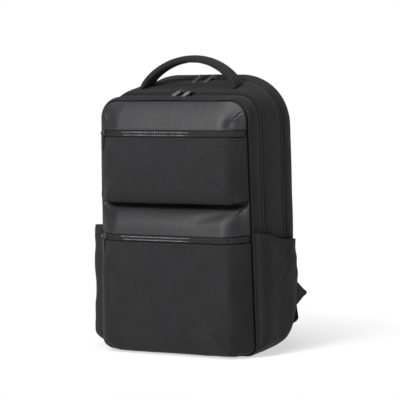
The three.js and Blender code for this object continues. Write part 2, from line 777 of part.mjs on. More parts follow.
// Sets a slider on a zip at a point. Its pull lies from its bridge to rest, where the tip touches.
function addSlider(name, point, outward, rest, width) {
  const normal = outward.clone().normalize();
  const barHeight = sliderHeight + eyeFoot + (bridgeHeight - bridgeWire - eyeFoot) / 2;
  const bar = point.clone().addScaledVector(normal, barHeight);
  const way = rest.clone().sub(bar);
  const length = way.length();
  way.normalize();
  const level = way.clone().addScaledVector(normal, -way.dot(normal)).normalize();
  const slider = addPiece(`${name}_slider`, sliderGeometry(), metalMaterial);
  slider.position.copy(point);
  slider.quaternion.copy(turnTo(level, normal));
  const pull = addPiece(`${name}_pull`, pullGeometry(length, width), rubberMaterial);
  pull.position.copy(bar);
  pull.quaternion.copy(turnTo(way, normal));
}

// A point on top of a compartment zip, a distance to the right of the middle of the bag.
function zipTop(startDepth, x) {
  const depth = startDepth + zipWidth / 2;
  const lift = coilHeight - zipRecess + gap;
  return new THREE.Vector3(x, yOf(depth), topZ(x, depth) + lift);
}

// The slope of the top of the bag at a depth, as the way that points out of the cloth.
function topNormal(depth) {
  const step = 4;
  const rise = topZ(0, depth + step) - topZ(0, depth - step);
  return new THREE.Vector3(0, -rise, 2 * step).normalize();
}

// Places of the sliders of the two compartment zips: across as a share of topWidth, and the way of
// each pull in degrees.
const compartmentSliders = [
  { name: 'front_zip_left', zip: frontGusset, across: -0.009, turn: -102 },
  { name: 'front_zip_right', zip: frontGusset, across: 0.058, turn: -98 },
  { name: 'rear_zip_left', zip: rearZipStart, across: -0.022, turn: -92 },
  { name: 'rear_zip_right', zip: rearZipStart, across: 0.069, turn: -100 },
];

function addCompartmentSliders() {
  for (const { name, zip, across, turn } of compartmentSliders) {
    const x = across * topWidth;
    const angle = THREE.MathUtils.degToRad(turn);
    const depth = zip + zipWidth / 2 + pullLength * Math.sin(angle);
    const tipX = x + pullLength * Math.cos(angle);
    const lift = pullThickness / 2 + 3 * gap;
    const rest = new THREE.Vector3(tipX, yOf(depth), topZ(tipX, depth) + lift);
    addSlider(name, zipTop(zip, x), topNormal(zip + zipWidth / 2), rest, pullWidth);
  }
}

// Between the second and third row of the pocket face, which the hanging pull touches.
const pullRestRow = 1.5;

// A pocket zip is closed at its left end, where its pull hangs down in front of the cloth. at is the
// share of half the strip's width.
function addPocketSlider(name, strip, face, at) {
  const normal = surfaceNormal(strip, at, 0.5);
  const point = strip(at, 0.5).addScaledVector(normal, coilHeight - zipRecess + gap);
  const clearance = pullThickness / 2 + 3 * gap;
  const rest = face(at, pullRestRow).addScaledVector(surfaceNormal(face, at, pullRestRow), clearance);
  const hang = rest.clone().sub(point);
  rest.copy(point).addScaledVector(hang, hangingPullLength / hang.length());
  addSlider(name, point, normal, rest, hangingPullWidth);
}

// Profile of the back pad: inset as a share of padCornerRadius, proud of padThickness.
const padRows = [
  { inset: 0, proud: 0 },
  { inset: 0, proud: 0.35 },
  { inset: 0.05, proud: 0.75 },
  { inset: 0.15, proud: 0.95 },
  { inset: 0.43, proud: 1 },
];
const padCornerSteps = 5;

// The back pad: a crowned cushion over the middle of the back wall.
function backPadGeometry() {
  const cornerX = padWidth / 2 - padCornerRadius;
  const cornerZ = padHeight / 2 - padCornerRadius;
  const middleZ = padBottom + padHeight / 2;
  const rings = padRows.map(({ inset, proud }) => [0, 1, 2, 3].flatMap((corner) => {
    const right = corner === 0 || corner === 3 ? 1 : -1;
    const upper = corner < 2 ? 1 : -1;
    const radius = padCornerRadius * (1 - inset);
    const angles = spread(corner * Math.PI / 2, (corner + 1) * Math.PI / 2, padCornerSteps);
    return angles.map((angle) => new THREE.Vector3(
      right * cornerX + radius * Math.cos(angle),
      yOf(bodyDepth + gap + proud * padThickness),
      middleZ + upper * cornerZ + radius * Math.sin(angle),
    ));
  }));
  return skinRings(rings, false);
}

// Skins a band along a curve. across is roughly the way of its width, sizeAt gives width and thickness.
function bandAlong(curve, steps, across, sizeAt, roundness) {
  const rings = spread(0, 1, steps).map((t) => {
    const centre = curve.getPoint(t);
    const tangent = curve.getTangent(t);
    const side = across(t).addScaledVector(tangent, -across(t).dot(tangent)).normalize();
    const through = new THREE.Vector3().crossVectors(tangent, side);
    const [width, thickness] = sizeAt(t);
    return roundSection(width, thickness, roundness)
      .map(([a, b]) => centre.clone().addScaledVector(side, a).addScaledVector(through, b));
  });
  return skinRings(rings, false);
}

// Route of a shoulder strap, as shares: across and down of the way from its root to its end, and
// reach of strapBow, away from the back wall.
const strapRoute = [
  { across: 0, down: 0, reach: 0 },
  { across: 0, down: 0, reach: 0.2 },
  { across: 0.04, down: 0.035, reach: 0.55 },
  { across: 0.12, down: 0.15, reach: 0.84 },
  { across: 0.35, down: 0.4, reach: 1 },
  { across: 0.68, down: 0.7, reach: 0.9 },
  { across: 1, down: 1, reach: 0.68 },
];
const strapEndReach = strapRoute.at(-1).reach * strapBow;

// Sizes of a strap along its length: width of the way from lockWidth to strapWidth, and thickness of
// strapThickness.
const strapSizes = [
  { at: 0, width: 1, thickness: 0.6 },
  { at: 0.08, width: 1, thickness: 1 },
  { at: 0.75, width: 1, thickness: 1 },
  { at: 0.9, width: 0.65, thickness: 1 },
  { at: 1, width: 0, thickness: 0.6 },
];

// A shoulder strap leaves the back wall near its top, bows away from the back and ends at its lock.
function strapCurve(side) {
  const points = strapRoute.map(({ across, down, reach }) => new THREE.Vector3(
    side * mix(strapRootX, strapEndX, across),
    yOf(bodyDepth + gap + reach * strapBow),
    mix(strapRootHeight, strapEndHeight, down),
  ));
  return new THREE.CatmullRomCurve3(points, false, 'centripetal');
}

const towardsX = (side) => () => new THREE.Vector3(side, 0, 0);

function addStrap(name, side) {
  const curve = strapCurve(side);
  const sizeAt = (t) => {
    const { width, thickness } = readTable(strapSizes, 'at', t);
    return [mix(lockWidth, strapWidth, width), thickness * strapThickness];
  };
  addPiece(`shoulder_strap_${name}`, bandAlong(curve, 22, towardsX(side), sizeAt, edgeCut), meshMaterial);
  addLock(name, side, curve);
  addWing(name, side);
  addWebbing(name, side, curve);
}

// The frame of a strap's lower end: y runs on down the strap, z out of its back.
function lockFrame(side, curve) {
  const down = curve.getTangent(1);
  const across = new THREE.Vector3(side, 0, 0).addScaledVector(down, -side * down.x).normalize();
  const out = new THREE.Vector3().crossVectors(across, down);
  const origin = curve.getPoint(1).addScaledVector(down, gap);
  return { origin, down, across, out };
}

// The ladder lock: a flat frame with two slots for the webbing.
function addLock(name, side, curve) {
  const { origin, down, across, out } = lockFrame(side, curve);
  const shape = roundedRectangle(new THREE.Shape(), -lockWidth / 2, 0, lockWidth, lockLength, lockCorner);
  const slotWidth = webbingWidth + 2 * slotPlay;
  const slotLength = (lockLength - 3 * lockBar) / 2;
  for (const start of [lockBar, 2 * lockBar + slotLength]) {
    const slot = new THREE.Path();
    roundedRectangle(slot, -slotWidth / 2, start, slotWidth, slotLength, slotPlay);
    shape.holes.push(slot);
  }
  const geometry = flatPlate(shape, lockThickness).translate(0, 0, -lockThickness / 2);
  const lock = addPiece(`ladder_lock_${name}`, geometry, plasticMaterial);
  lock.position.copy(origin);
  lock.quaternion.setFromRotationMatrix(new THREE.Matrix4().makeBasis(across, down, out));
}

// The wing: a cloth corner sewn to the foot of the back, which holds the end of the webbing.
function wingFrame(side) {
  const reach = Math.hypot(wingReach, wingSwing);
  const out = new THREE.Vector3(side * wingReach, wingSwing, 0).normalize();
  const up = new THREE.Vector3(0, 0, 1);
  const normal = new THREE.Vector3().crossVectors(out, up);
  const root = new THREE.Vector3(side * wingRootX, yOf(bodyDepth + gap + wingThickness), wingFoot);
  return { reach, out, up, normal, root };
}

function addWing(name, side) {
  const { reach, out, up, normal, root } = wingFrame(side);
  const shape = new THREE.Shape();
  shape.moveTo(0, 0);
  shape.lineTo(reach - wingTip, wingHeight / 2 - wingTip);
  shape.quadraticCurveTo(reach, wingHeight / 2, reach - wingTip, wingHeight / 2 + wingTip);
  shape.lineTo(0, wingHeight);
  const geometry = flatPlate(shape, wingThickness, 3).translate(0, 0, -wingThickness / 2);
  const wing = addPiece(`strap_wing_${name}`, geometry, canvasMaterial);
  wing.position.copy(root);
  wing.quaternion.setFromRotationMatrix(new THREE.Matrix4().makeBasis(out, up, normal));
}

// How far along its way from the wing to the lock the webbing bends, and its straight run at the lock.
const webbingBend = 0.7;
const webbingRun = 2.5;

// The hanging end of the webbing, as shares: down of tailLength, reach of the strap end's reach.
const tailRoute = [
  { down: 0.6, reach: 1 },
  { down: 0.85, reach: 0.8 },
  { down: 1, reach: 0.63 },
];

// The webbing leaves the back of the wing, goes up through the lock, turns over its bar and hangs down.
function addWebbing(name, side, strap) {
  const { origin, down, across, out: lockOut } = lockFrame(side, strap);
  const { reach, out, normal, root } = wingFrame(side);
  const back = normal.clone().multiplyScalar(Math.sign(normal.y));
  const offset = wingThickness / 2 + webbingThickness / 2 + 4 * gap;
  const start = root.clone().addScaledVector(out, reach * seamAcross).addScaledVector(back, offset);
  start.z += wingHeight * seamUp;
  const barAway = lockLength - lockBar / 2;
  const bar = origin.clone().addScaledVector(down, barAway);
  const backwards = lockOut.clone().multiplyScalar(Math.sign(lockOut.y));
  const radius = Math.hypot(lockBar / 2, lockThickness / 2) + webbingThickness / 2 + gap;
  const turn = (a, b) => bar.clone().addScaledVector(down, a).addScaledVector(backwards, b);
  const around = spread(-Math.PI / 2, Math.PI / 2, 4)
    .map((angle) => turn(-radius * Math.cos(angle), radius * Math.sin(angle)));
  const tail = tailRoute.map((row) => new THREE.Vector3(
    side * (strapEndX + tailSwing * row.down),
    yOf(bodyDepth + row.reach * strapEndReach),
    strapEndHeight - tailLength * row.down,
  ));
  const run = webbingRun * radius;
  const route = [
    start,
    start.clone().setZ(start.z + wingSeam / 2),
    start.clone().setZ(start.z + wingSeam),
    start.clone().lerp(turn(radius, -radius), webbingBend).addScaledVector(back, wingTip / 2),
    turn(run, -radius),
    ...around,
    turn(run, radius),
    ...tail,
  ];
  const curve = new THREE.CatmullRomCurve3(route, false, 'centripetal');
  const size = () => [webbingWidth, webbingThickness];
  const steps = 2 * (route.length - 1);
  const stretch = 1 / (route.length - 1);
  const facing = (t) => out.clone().lerp(across, clamp((t - 3 * stretch) / stretch));
  addPiece(`strap_webbing_${name}`, bandAlong(curve, steps, facing, size, 0), webMaterial);
}

addPiece('front_compartment', frontCompartment(), canvasMaterial);
addPiece('middle_gusset', middleRing(), canvasMaterial);
addPiece('laptop_compartment', laptopCompartment(), canvasMaterial);
addPiece('front_zip', zipTrack(frontGusset), tapeMaterial);
addPiece('rear_zip', zipTrack(rearZipStart), tapeMaterial);

const upperStrip = zipStrip(upperTop, upperTopRows.length - 1, upperFace);
const lowerStrip = zipStrip(lowerTop, lowerTopRows.length - 1, lowerFace);
const pocketPanel = (surface, rows) => clothSheet(surface, panelUs, rows.map((_, i) => i), pocketWall);
const pocketTape = (strip) => clothSheet(strip, panelUs, stripStops, zipTape, stripProud);
addPiece('upper_pocket_top', pocketPanel(upperTop, upperTopRows), smoothMaterial);
addPiece('upper_pocket_zip', pocketTape(upperStrip), tapeMaterial);
addPiece('upper_pocket_face', pocketPanel(upperFace, upperFaceRows), canvasMaterial);
addPiece('lower_pocket_top', pocketPanel(lowerTop, lowerTopRows), smoothMaterial);
addPiece('lower_pocket_zip', pocketTape(lowerStrip), tapeMaterial);
addPiece('lower_pocket_face', pocketPanel(lowerFace, lowerFaceRows), canvasMaterial);
addPiece('upper_zip_garage', zipGarage(upperStrip, upperZipHeight), smoothMaterial);
addPiece('lower_zip_garage', zipGarage(lowerStrip, lowerZipHeight), smoothMaterial);

addSidePocket('left', -1, leftPocketHeight, leftPocketBulge, leftPocketSag);
addSidePocket('right', 1, rightPocketHeight, rightPocketBulge, rightPocketSag);
addPiece('handle', handleGeometry(), canvasMaterial);
addCompartmentSliders();
addPocketSlider('upper_pocket', upperStrip, upperFace, upperSliderPlace);
addPocketSlider('lower_pocket', lowerStrip, lowerFace, lowerSliderPlace);
addPiece('back_pad', backPadGeometry(), meshMaterial);
addStrap('left', -1);
addStrap('right', 1);

export default backpack;
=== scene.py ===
import functools
import math

import bmesh
import bpy
from mathutils import Matrix, Vector, noise


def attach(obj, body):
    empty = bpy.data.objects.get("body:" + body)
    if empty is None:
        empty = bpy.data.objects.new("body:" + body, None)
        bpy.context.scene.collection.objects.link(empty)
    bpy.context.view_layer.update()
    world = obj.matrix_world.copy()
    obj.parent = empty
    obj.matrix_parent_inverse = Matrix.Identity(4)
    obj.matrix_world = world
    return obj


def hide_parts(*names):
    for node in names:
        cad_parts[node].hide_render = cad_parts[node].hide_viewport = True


# A laptop backpack of charcoal canvas. Lengths are in millimetres until a mesh is made.
# Depths are counted backwards from the front seam.

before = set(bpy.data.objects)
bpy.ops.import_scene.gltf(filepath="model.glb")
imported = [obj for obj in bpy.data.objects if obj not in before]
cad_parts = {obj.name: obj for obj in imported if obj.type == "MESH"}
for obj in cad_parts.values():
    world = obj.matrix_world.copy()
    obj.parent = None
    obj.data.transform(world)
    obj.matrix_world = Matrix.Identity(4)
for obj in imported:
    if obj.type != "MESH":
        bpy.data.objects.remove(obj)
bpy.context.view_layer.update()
MM = 0.001

# Body of the bag
FRONT_HEIGHT = 420
BACK_HEIGHT = 457
TOP_WIDTH = 276
BASE_WIDTH = 292
GUSSET_SWELL = 8
FOOT_SWELL = 0.4
FRONT_CORNER = 32
BACK_CORNER = 86
FRONT_BASE_CORNER = 19
BACK_BASE_CORNER = 54
BACK_LIFT = 36
FRONT_GUSSET = 32
MIDDLE_START = 42
REAR_ZIP_START = 104
REAR_START = 114
BODY_DEPTH = 146
BACK_EDGE = 8
BASE_CENTRE = 55
ZIP_WIDTH = 10
ZIP_END = 172
CLOTH = 1.6
SEAM_GAP = 0.15
# a point inside the bag, which the outer faces look away from
INSIDE = Vector((0, 20, 230)) * MM
# points nearer than this are one point, in metres
SAME_POINT = 1e-6


def mix(a, b, share):
    return a + (b - a) * share


def clamp(value, low=0.0, high=1.0):
    return min(high, max(low, value))


def ease(value):
    value = clamp(value)
    return value * value * (3 - 2 * value)


def spread(start, end, steps):
    return [mix(start, end, i / steps) for i in range(steps + 1)]


def curve_through(places, values):
    """A smooth curve through the values that doesn't overshoot them."""
    rises = [
        (values[i + 1] - values[i]) / (places[i + 1] - places[i])
        for i in range(len(places) - 1)
    ]
    slopes = [rises[0]]
    for before, after in zip(rises, rises[1:]):
        slopes.append(0 if before * after <= 0 else 2 * before * after / (before + after))
    slopes.append(rises[-1])

    def at(place):
        place = clamp(place, places[0], places[-1])
        i = 0
        while i + 2 < len(places) and places[i + 1] < place:
            i += 1
        width = places[i + 1] - places[i]
        t = (place - places[i]) / width
        start = (1 + 2 * t) * (1 - t) ** 2 * values[i] + t * (1 - t) ** 2 * width * slopes[i]
        end = t * t * (3 - 2 * t) * values[i + 1] + t * t * (t - 1) * width * slopes[i + 1]
        return start + end

    return at


def table_curves(table):
    """One smooth curve for each column after the first, read by the first column."""
    columns = list(zip(*table))
    return [curve_through(columns[0], column) for column in columns[1:]]


# Cross sections of the bag: depth, rise of the back's extra height, swell, corner, lift, base corner
BODY_SECTIONS = table_curves([
    (0, 0, 0, 0, 0.06, 0),
    (6, 0.08, 0.25, 0, 0, 0.05),
    (FRONT_GUSSET, 0.18, 0.5, 0.12, 0, 0.12),
    (MIDDLE_START, 0.34, 0.55, 0.18, 0, 0.15),
    (73, 0.54, 0.6, 0.38, 0, 0.25),
    (REAR_ZIP_START, 0.8, 0.8, 0.74, 0, 0.42),
    (REAR_START, 0.84, 0.9, 0.87, 0, 0.52),
    (130, 0.96, 1, 0.97, 0.32, 0.8),
    (138, 1, 1, 1, 0.62, 0.95),
    (BODY_DEPTH, 1, 1, 1, 0.8, 1),
])

TOP_STEPS = 26
CORNER_STEPS = 20
SIDE_STEPS = 50
LOWER_STEPS = 30
FOOT_STEPS = 12
BASE_STEPS = 10


def half_width(z):
    return mix(TOP_WIDTH, BASE_WIDTH, (FRONT_HEIGHT - z) / FRONT_HEIGHT) / 2


def body_frame(depth, inset):
    """The sizes of the bag's rounded outline at a depth."""
    rise, swell, corner_share, lift, base_share = (curve(depth) for curve in BODY_SECTIONS)
    top = FRONT_HEIGHT + rise * (BACK_HEIGHT - FRONT_HEIGHT) - inset
    bottom = lift * BACK_LIFT + inset
    corner = mix(FRONT_CORNER, BACK_CORNER, corner_share) - inset
    base = mix(FRONT_BASE_CORNER, BACK_BASE_CORNER, base_share) - inset

    def half(z):
        return half_width(z) + swell * GUSSET_SWELL * mix(FOOT_SWELL, 1, z / FRONT_HEIGHT) - inset

    return top, bottom, corner, base, half


@functools.lru_cache(maxsize=None)
def right_outline(depth, inset):
    """Right half of the outline, from the middle of the top to the middle of the base."""
    top, bottom, corner, base, half = body_frame(depth, inset)
    corner_x = half(top - corner) - corner
    base_x = half(bottom + base) - base
    points = [(corner_x * i / TOP_STEPS, top) for i in range(TOP_STEPS)]
    for angle in spread(math.pi / 2, 0, CORNER_STEPS):
        points.append((corner_x + corner * math.cos(angle), top - corner + corner * math.sin(angle)))
    for z in spread(top - corner, ZIP_END, SIDE_STEPS)[1:]:
        points.append((half(z), z))
    for z in spread(ZIP_END, bottom + base, LOWER_STEPS)[1:]:
        points.append((half(z), z))
    for angle in spread(0, math.pi / 2, FOOT_STEPS)[1:]:
        points.append((base_x + base * math.cos(angle), bottom + base - base * math.sin(angle)))
    points += [(base_x * (1 - i / BASE_STEPS), bottom) for i in range(1, BASE_STEPS + 1)]
    return points


HALF_COUNT = len(right_outline(0, 0))
ZIP_LAST = TOP_STEPS + CORNER_STEPS + SIDE_STEPS


def ring_to(last):
    """Places round the bag, from a point of the right side over the top to the same on the left."""
    return [(1, i) for i in reversed(range(last + 1))] + [(-1, i) for i in range(1, last + 1)]


RING = ring_to(HALF_COUNT - 1)
ZIP_RING = ring_to(ZIP_LAST)


def body_point(place, depth, out=0.0):
    """A point of the bag's skin at a place of the ring, raised by out."""
    side, i = place
    x0, z0 = right_outline(depth, 0.0)[i]
    x1, z1 = right_outline(depth, 1.0)[i]
    return Vector((side * mix(x0, x1, -out), depth - BASE_CENTRE, mix(z0, z1, -out)))


def body_out(place, depth):
    """The way out of the bag's skin at a place of the ring."""
    return (body_point(place, depth, 1.0) - body_point(place, depth)).normalized()


# the noise is read away from whole numbers, where it is zero
NOISE_PLACE = (7.3, 1.9)


def crumple(point, size, seed=0.0):
    """Smooth unevenness of the cloth, from -1 to 1, with bumps about size across."""
    return noise.noise(Vector(point) / size + Vector((seed, *NOISE_PLACE)))


def waves_at(point, waves, seed=0.0):
    """Several sizes of unevenness together. A wave has a height, a size and a seed of its own."""
    total = 0.0
    for height, size, own_seed in waves:
        total += height * crumple(point, size, seed + own_seed)
    return total


# Materials

def linear(hex_colour):
    """A colour given as sRGB hex, as the linear colour that a shader takes."""
    channels = [int(hex_colour[i:i + 2], 16) / 255 for i in (0, 2, 4)]
    return [c / 12.92 if c <= 0.04045 else ((c + 0.055) / 1.055) ** 2.4 for c in channels] + [1.0]


def add(tree, kind, links=None, **settings):
    """Adds a shader node with its settings, and links or sets its sockets."""
    made = tree.nodes.new("ShaderNode" + kind)
    for name, value in settings.items():
        setattr(made, name, value)
    for name, source in (links or {}).items():
        if isinstance(source, bpy.types.NodeSocket):
            tree.links.new(source, made.inputs[name])
        else:
            made.inputs[name].default_value = source
    return made


def new_material(name):
    """A material with an empty node tree."""
    material = bpy.data.materials.new(name)
    material.use_nodes = True
    tree = material.node_tree
    tree.nodes.clear()
    return material, tree


def close_material(tree, surface, height, depth):
    """Joins the shader to the output, with a height pattern of the given depth in millimetres."""
    bump = add(tree, "Bump", {"Height": height, "Strength": 1.0, "Distance": depth * MM})
    tree.links.new(bump.outputs["Normal"], surface.inputs["Normal"])
    add(tree, "OutputMaterial", {"Surface": surface.outputs["BSDF"]})


def ramp(tree, factor, stops):
    """Colours along a pattern, each stop a place and an sRGB hex value."""
    made = add(tree, "ValToRGB", {"Fac": factor})
    elements = made.color_ramp.elements
    while len(elements) < len(stops):
        elements.new(0.5)
    for element, (place, colour) in zip(elements, stops):
        element.position = place
        element.color = linear(colour)
    return made.outputs["Color"]


def woven_height(tree, coordinates, spacing):
    """Over and under of a plain weave whose threads lie spacing millimetres apart."""
    split = add(tree, "SeparateXYZ", {"Vector": coordinates})
    rate = math.pi / (spacing * MM)
    waves = []
    for axis in ("X", "Y"):
        angle = add(tree, "Math", {0: split.outputs[axis], 1: rate}, operation="MULTIPLY")
        wave = add(tree, "Math", {0: angle.outputs[0]}, operation="SINE")
        waves.append(wave.outputs[0])
    over = add(tree, "Math", {0: waves[0], 1: waves[1]}, operation="MULTIPLY")
    height = add(tree, "Math", {0: over.outputs[0]}, operation="ABSOLUTE")
    return over.outputs[0], height.outputs[0]


def cells(tree, coordinates, size, detail=2.0, stretch=(1, 1, 1)):
    """Noise with spots about size millimetres across, longer along an axis whose share is small."""
    scaled = add(tree, "Mapping", {"Vector": coordinates, "Scale": stretch})
    made = add(tree, "TexNoise", {
        "Vector": scaled.outputs["Vector"], "Scale": 1 / (size * MM), "Detail": detail,
    })
    return made.outputs["Fac"]


def streaks(tree, coordinates, size, detail, share):
    """Spots drawn out along the warp, and the same along the weft."""
    warp = cells(tree, coordinates, size, detail, (1, share, 1))
    weft = cells(tree, coordinates, size, detail, (share, 1, 1))
    return warp, weft


def blend(tree, a, b, share):
    """a and b mixed by a share, which is a number or a pattern."""
    made = add(tree, "Mix", {0: share, 2: a, 3: b}, data_type="FLOAT")
    return made.outputs[0]


# Yarn: its width as a share of the spacing, and how much shorter its spots are across it
YARN_WIDTH = 0.8
YARN_SHORT = 0.12
# Slubs, the thick places of the yarn, and the cloudy patches of the dye
SLUB_SIZE = 2.4
SLUB_SHORT = 0.05
PATCH_SIZE = 45
# Where on the pattern the dark and the light colour are reached
CLOTH_DARK_AT = 0.25
CLOTH_LIGHT_AT = 0.8
# Shares in the mixed pattern
WEFT_SLUBS = 0.4
SLUBS_IN_PATCHES = 0.65
PATCHES_IN_COLOUR = 0.55
YARN_IN_RELIEF = 0.35
CLOTH_SHEEN_ROUGHNESS = 0.4


def cloth_material(name, dark, light, spacing, relief, roughness, slub, gleam, sheen=0.0):
    """Woven cloth, darker where the weave lies low: painted shade between the threads. Its threads lie
    spacing millimetres apart and slub is how uneven the yarn is.
    """
    material, tree = new_material(name)
    lay = add(tree, "UVMap", uv_map="cloth").outputs["UV"]
    over, height = woven_height(tree, lay, spacing)
    warp, weft = streaks(tree, lay, spacing * YARN_WIDTH, 1.0, YARN_SHORT)
    yarn = blend(tree, weft, warp, over)
    slubs = blend(tree, *streaks(tree, lay, SLUB_SIZE, 2.0, SLUB_SHORT), WEFT_SLUBS)
    patches = blend(tree, cells(tree, lay, PATCH_SIZE, 3.0), slubs, SLUBS_IN_PATCHES)
    uneven = blend(tree, yarn, patches, PATCHES_IN_COLOUR)
    # colour pattern: painted shade between the threads, mixed by slub with the yarn's uneven tone
    lit = blend(tree, height, uneven, slub)
    surface = add(tree, "BsdfPrincipled", {
        "Base Color": ramp(tree, lit, [(CLOTH_DARK_AT, dark), (CLOTH_LIGHT_AT, light)]),
        "Roughness": roughness,
        "Sheen Weight": sheen,
        "Sheen Roughness": CLOTH_SHEEN_ROUGHNESS,
        "Specular IOR Level": gleam,
    })
    close_material(tree, surface, blend(tree, height, yarn, YARN_IN_RELIEF), relief)
    return material


# 600 denier polyester canvas: matte and speckled, with threads drawn 0.9 mm apart so that they show
CANVAS = cloth_material(
    "charcoal_canvas", "0c0c0d", "353537", spacing=0.9, relief=0.2, roughness=0.85,
    slub=0.72, gleam=0.2, sheen=0.04,
)
# a denser polyester cloth with a coarser rib on the two wings that hold the webbing, lighter than the
# canvas as painted light on them
LIT_WING_CLOTH = cloth_material(
    "wing_cloth_painted_light", "2a2a2c", "58585b", spacing=1.2, relief=0.2, roughness=0.8,
    slub=0.5, gleam=0.3, sheen=0.1,
)
# polyester with a smooth water-tight coating, on the tops of the front pockets: soft wide highlights
COATED = cloth_material(
    "coated_polyester", "212123", "2c2c2e", spacing=0.7, relief=0.04, roughness=0.5,
    slub=0.35, gleam=0.27,
)
# woven polyester zip tape: fine, flat and nearly black
TAPE = cloth_material(
    "zip_tape", "0e0e0f", "1e1e20", spacing=0.7, relief=0.15, roughness=0.7, slub=0.4, gleam=0.3,
)
# nylon webbing with coarse ribs, a little glossy
WEBBING = cloth_material(
    "nylon_webbing", "141416", "2c2c2f", spacing=1.7, relief=0.45, roughness=0.6,
    slub=0.4, gleam=0.35,
)


MESH_HOLE_SPACING = 3.2
MESH_HOLE_DEPTH = 0.9
# Distance from a hole's middle where it is dark with painted shade, and where the face is fully light
MESH_HOLE_EDGE = 0.18
MESH_FACE_EDGE = 0.42
MESH_FUZZ_SIZE = 0.6
MESH_FUZZ_SHARE = 0.25


def spacer_mesh():
    """Warp-knitted spacer mesh: round holes about 3 mm apart in a soft, dull face, with painted shade in
    the holes.
    """
    material, tree = new_material("spacer_mesh")
    lay = add(tree, "UVMap", uv_map="cloth").outputs["UV"]
    holes = add(tree, "TexVoronoi", {
        "Vector": lay, "Scale": 1 / (MESH_HOLE_SPACING * MM), "Randomness": 0.15,
    })
    distance = holes.outputs["Distance"]
    surface = add(tree, "BsdfPrincipled", {
        "Base Color": ramp(tree, distance, [(MESH_HOLE_EDGE, "0a0a0b"), (MESH_FACE_EDGE, "2c2c2f")]),
        "Roughness": 0.95,
        "Sheen Weight": 0.2,
        "Sheen Roughness": 0.5,
    })
    fuzz = cells(tree, lay, MESH_FUZZ_SIZE)
    close_material(tree, surface, blend(tree, distance, fuzz, MESH_FUZZ_SHARE), MESH_HOLE_DEPTH)
    return material


# Handling makes the gloss of a hard part uneven: patches this wide, this much glossier or duller
WORN_SIZE = 9
WORN_GLOSSIER = 0.08
WORN_DULLER = 0.1


def moulded(name, colour, roughness, metallic=0.0, grain=0.7, relief=0.02, ior=None):
    """Moulded or plated material with a fine grain and slightly uneven gloss."""
    material, tree = new_material(name)
    place = add(tree, "TexCoord").outputs["Object"]
    fine = cells(tree, place, grain, 3.0)
    worn = cells(tree, place, WORN_SIZE, 4.0)
    gloss = add(tree, "MapRange", {
        "Value": worn, "To Min": roughness - WORN_GLOSSIER, "To Max": roughness + WORN_DULLER,
    }).outputs["Result"]
    tint = ramp(tree, worn, [(0.3, colour[0]), (0.7, colour[1])])
    sockets = {"Base Color": tint, "Roughness": gloss, "Metallic": metallic}
    if ior:
        sockets["IOR"] = ior
    surface = add(tree, "BsdfPrincipled", sockets)
    close_material(tree, surface, fine, relief)
    return material


MESH = spacer_mesh()
# spun polyester thread, twisted: dull, with a fine roughness
THREAD = moulded(
    "polyester_thread", ("202022", "333336"), roughness=0.6, grain=0.4, relief=0.05, ior=1.57,
)
# nylon coil teeth, extruded and smooth: small sharp glints
COIL = moulded("nylon_coil", ("161617", "262628"), roughness=0.35, ior=1.53)
# the same, a little glossier and light grey as a painted highlight, in the middle of the two pocket zips
HIGHLIT_COIL = moulded("nylon_coil_painted_highlight", ("56565a", "b8b8bc"), roughness=0.25, ior=1.53)
# die-cast zinc with a dark nickel plating, which still mirrors the light in grey
ZINC = moulded("black_nickel_zinc", ("77787c", "b4b5b9"), roughness=0.3, metallic=1.0)
# moulded thermoplastic rubber, soft satin, on the pulls of the two pocket zips
RUBBER = moulded(
    "moulded_rubber", ("18181a", "242426"), roughness=0.5, grain=1.1, relief=0.03, ior=1.52,
)
# a glossier grade of it on the pulls of the rear zip, lighter as painted highlights
LIT_RUBBER = moulded(
    "rubber_painted_highlights", ("363638", "505053"), roughness=0.3, grain=1.1, relief=0.03, ior=1.52,
)
# and a glossy light grey one on the pulls of the front zip, its colour painted glints
GLINT_RUBBER = moulded(
    "rubber_painted_glints", ("3c3c3f", "7c7c80"), roughness=0.28, grain=1.1, relief=0.03, ior=1.52,
)
# acetal, moulded with a spark-eroded grain, on the ladder locks
ACETAL = moulded(
    "moulded_acetal", ("1a1a1c", "262629"), roughness=0.42, grain=0.5, relief=0.03, ior=1.48,
)


# Making pieces

def link_piece(name, mesh, material, slot, replaced=()):
    """Adds a mesh to the scene as a piece of the object."""
    mesh.materials.append(material)
    mesh.polygons.foreach_set("use_smooth", [True] * len(mesh.polygons))
    piece = bpy.data.objects.new(name, mesh)
    bpy.context.scene.collection.objects.link(piece)
    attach(piece, "root")
    if replaced:
        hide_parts(*replaced)
    return piece


def mesh_of(bm, name):
    """Turns a bmesh into a mesh and frees it."""
    mesh = bpy.data.meshes.new(name)
    bm.to_mesh(mesh)
    bm.free()
    return mesh


def finish_piece(name, bm, material, slot, replaced=(), wall=0.0):
    """Makes a piece of a bmesh, with a wall of cloth inside its skin."""
    piece = link_piece(name, mesh_of(bm, name), material, slot, replaced)
    if wall:
        solidify = piece.modifiers.new("cloth_wall", "SOLIDIFY")
        solidify.thickness = wall * MM
        solidify.offset = -1
    return piece


def lengths(points, start):
    """Distances along a row of points from its point number start."""
    total = [0.0]
    for before, after in zip(points, points[1:]):
        total.append(total[-1] + (after - before).length)
    return [value - total[start] for value in total]


def turn_outwards(bm, inside):
    """Turns the faces of a skin so that they look away from a point inside."""
    bm.normal_update()
    total = sum(f.normal.dot(f.calc_center_median() - inside) * f.calc_area() for f in bm.faces)
    if total < 0:
        bmesh.ops.reverse_faces(bm, faces=bm.faces)


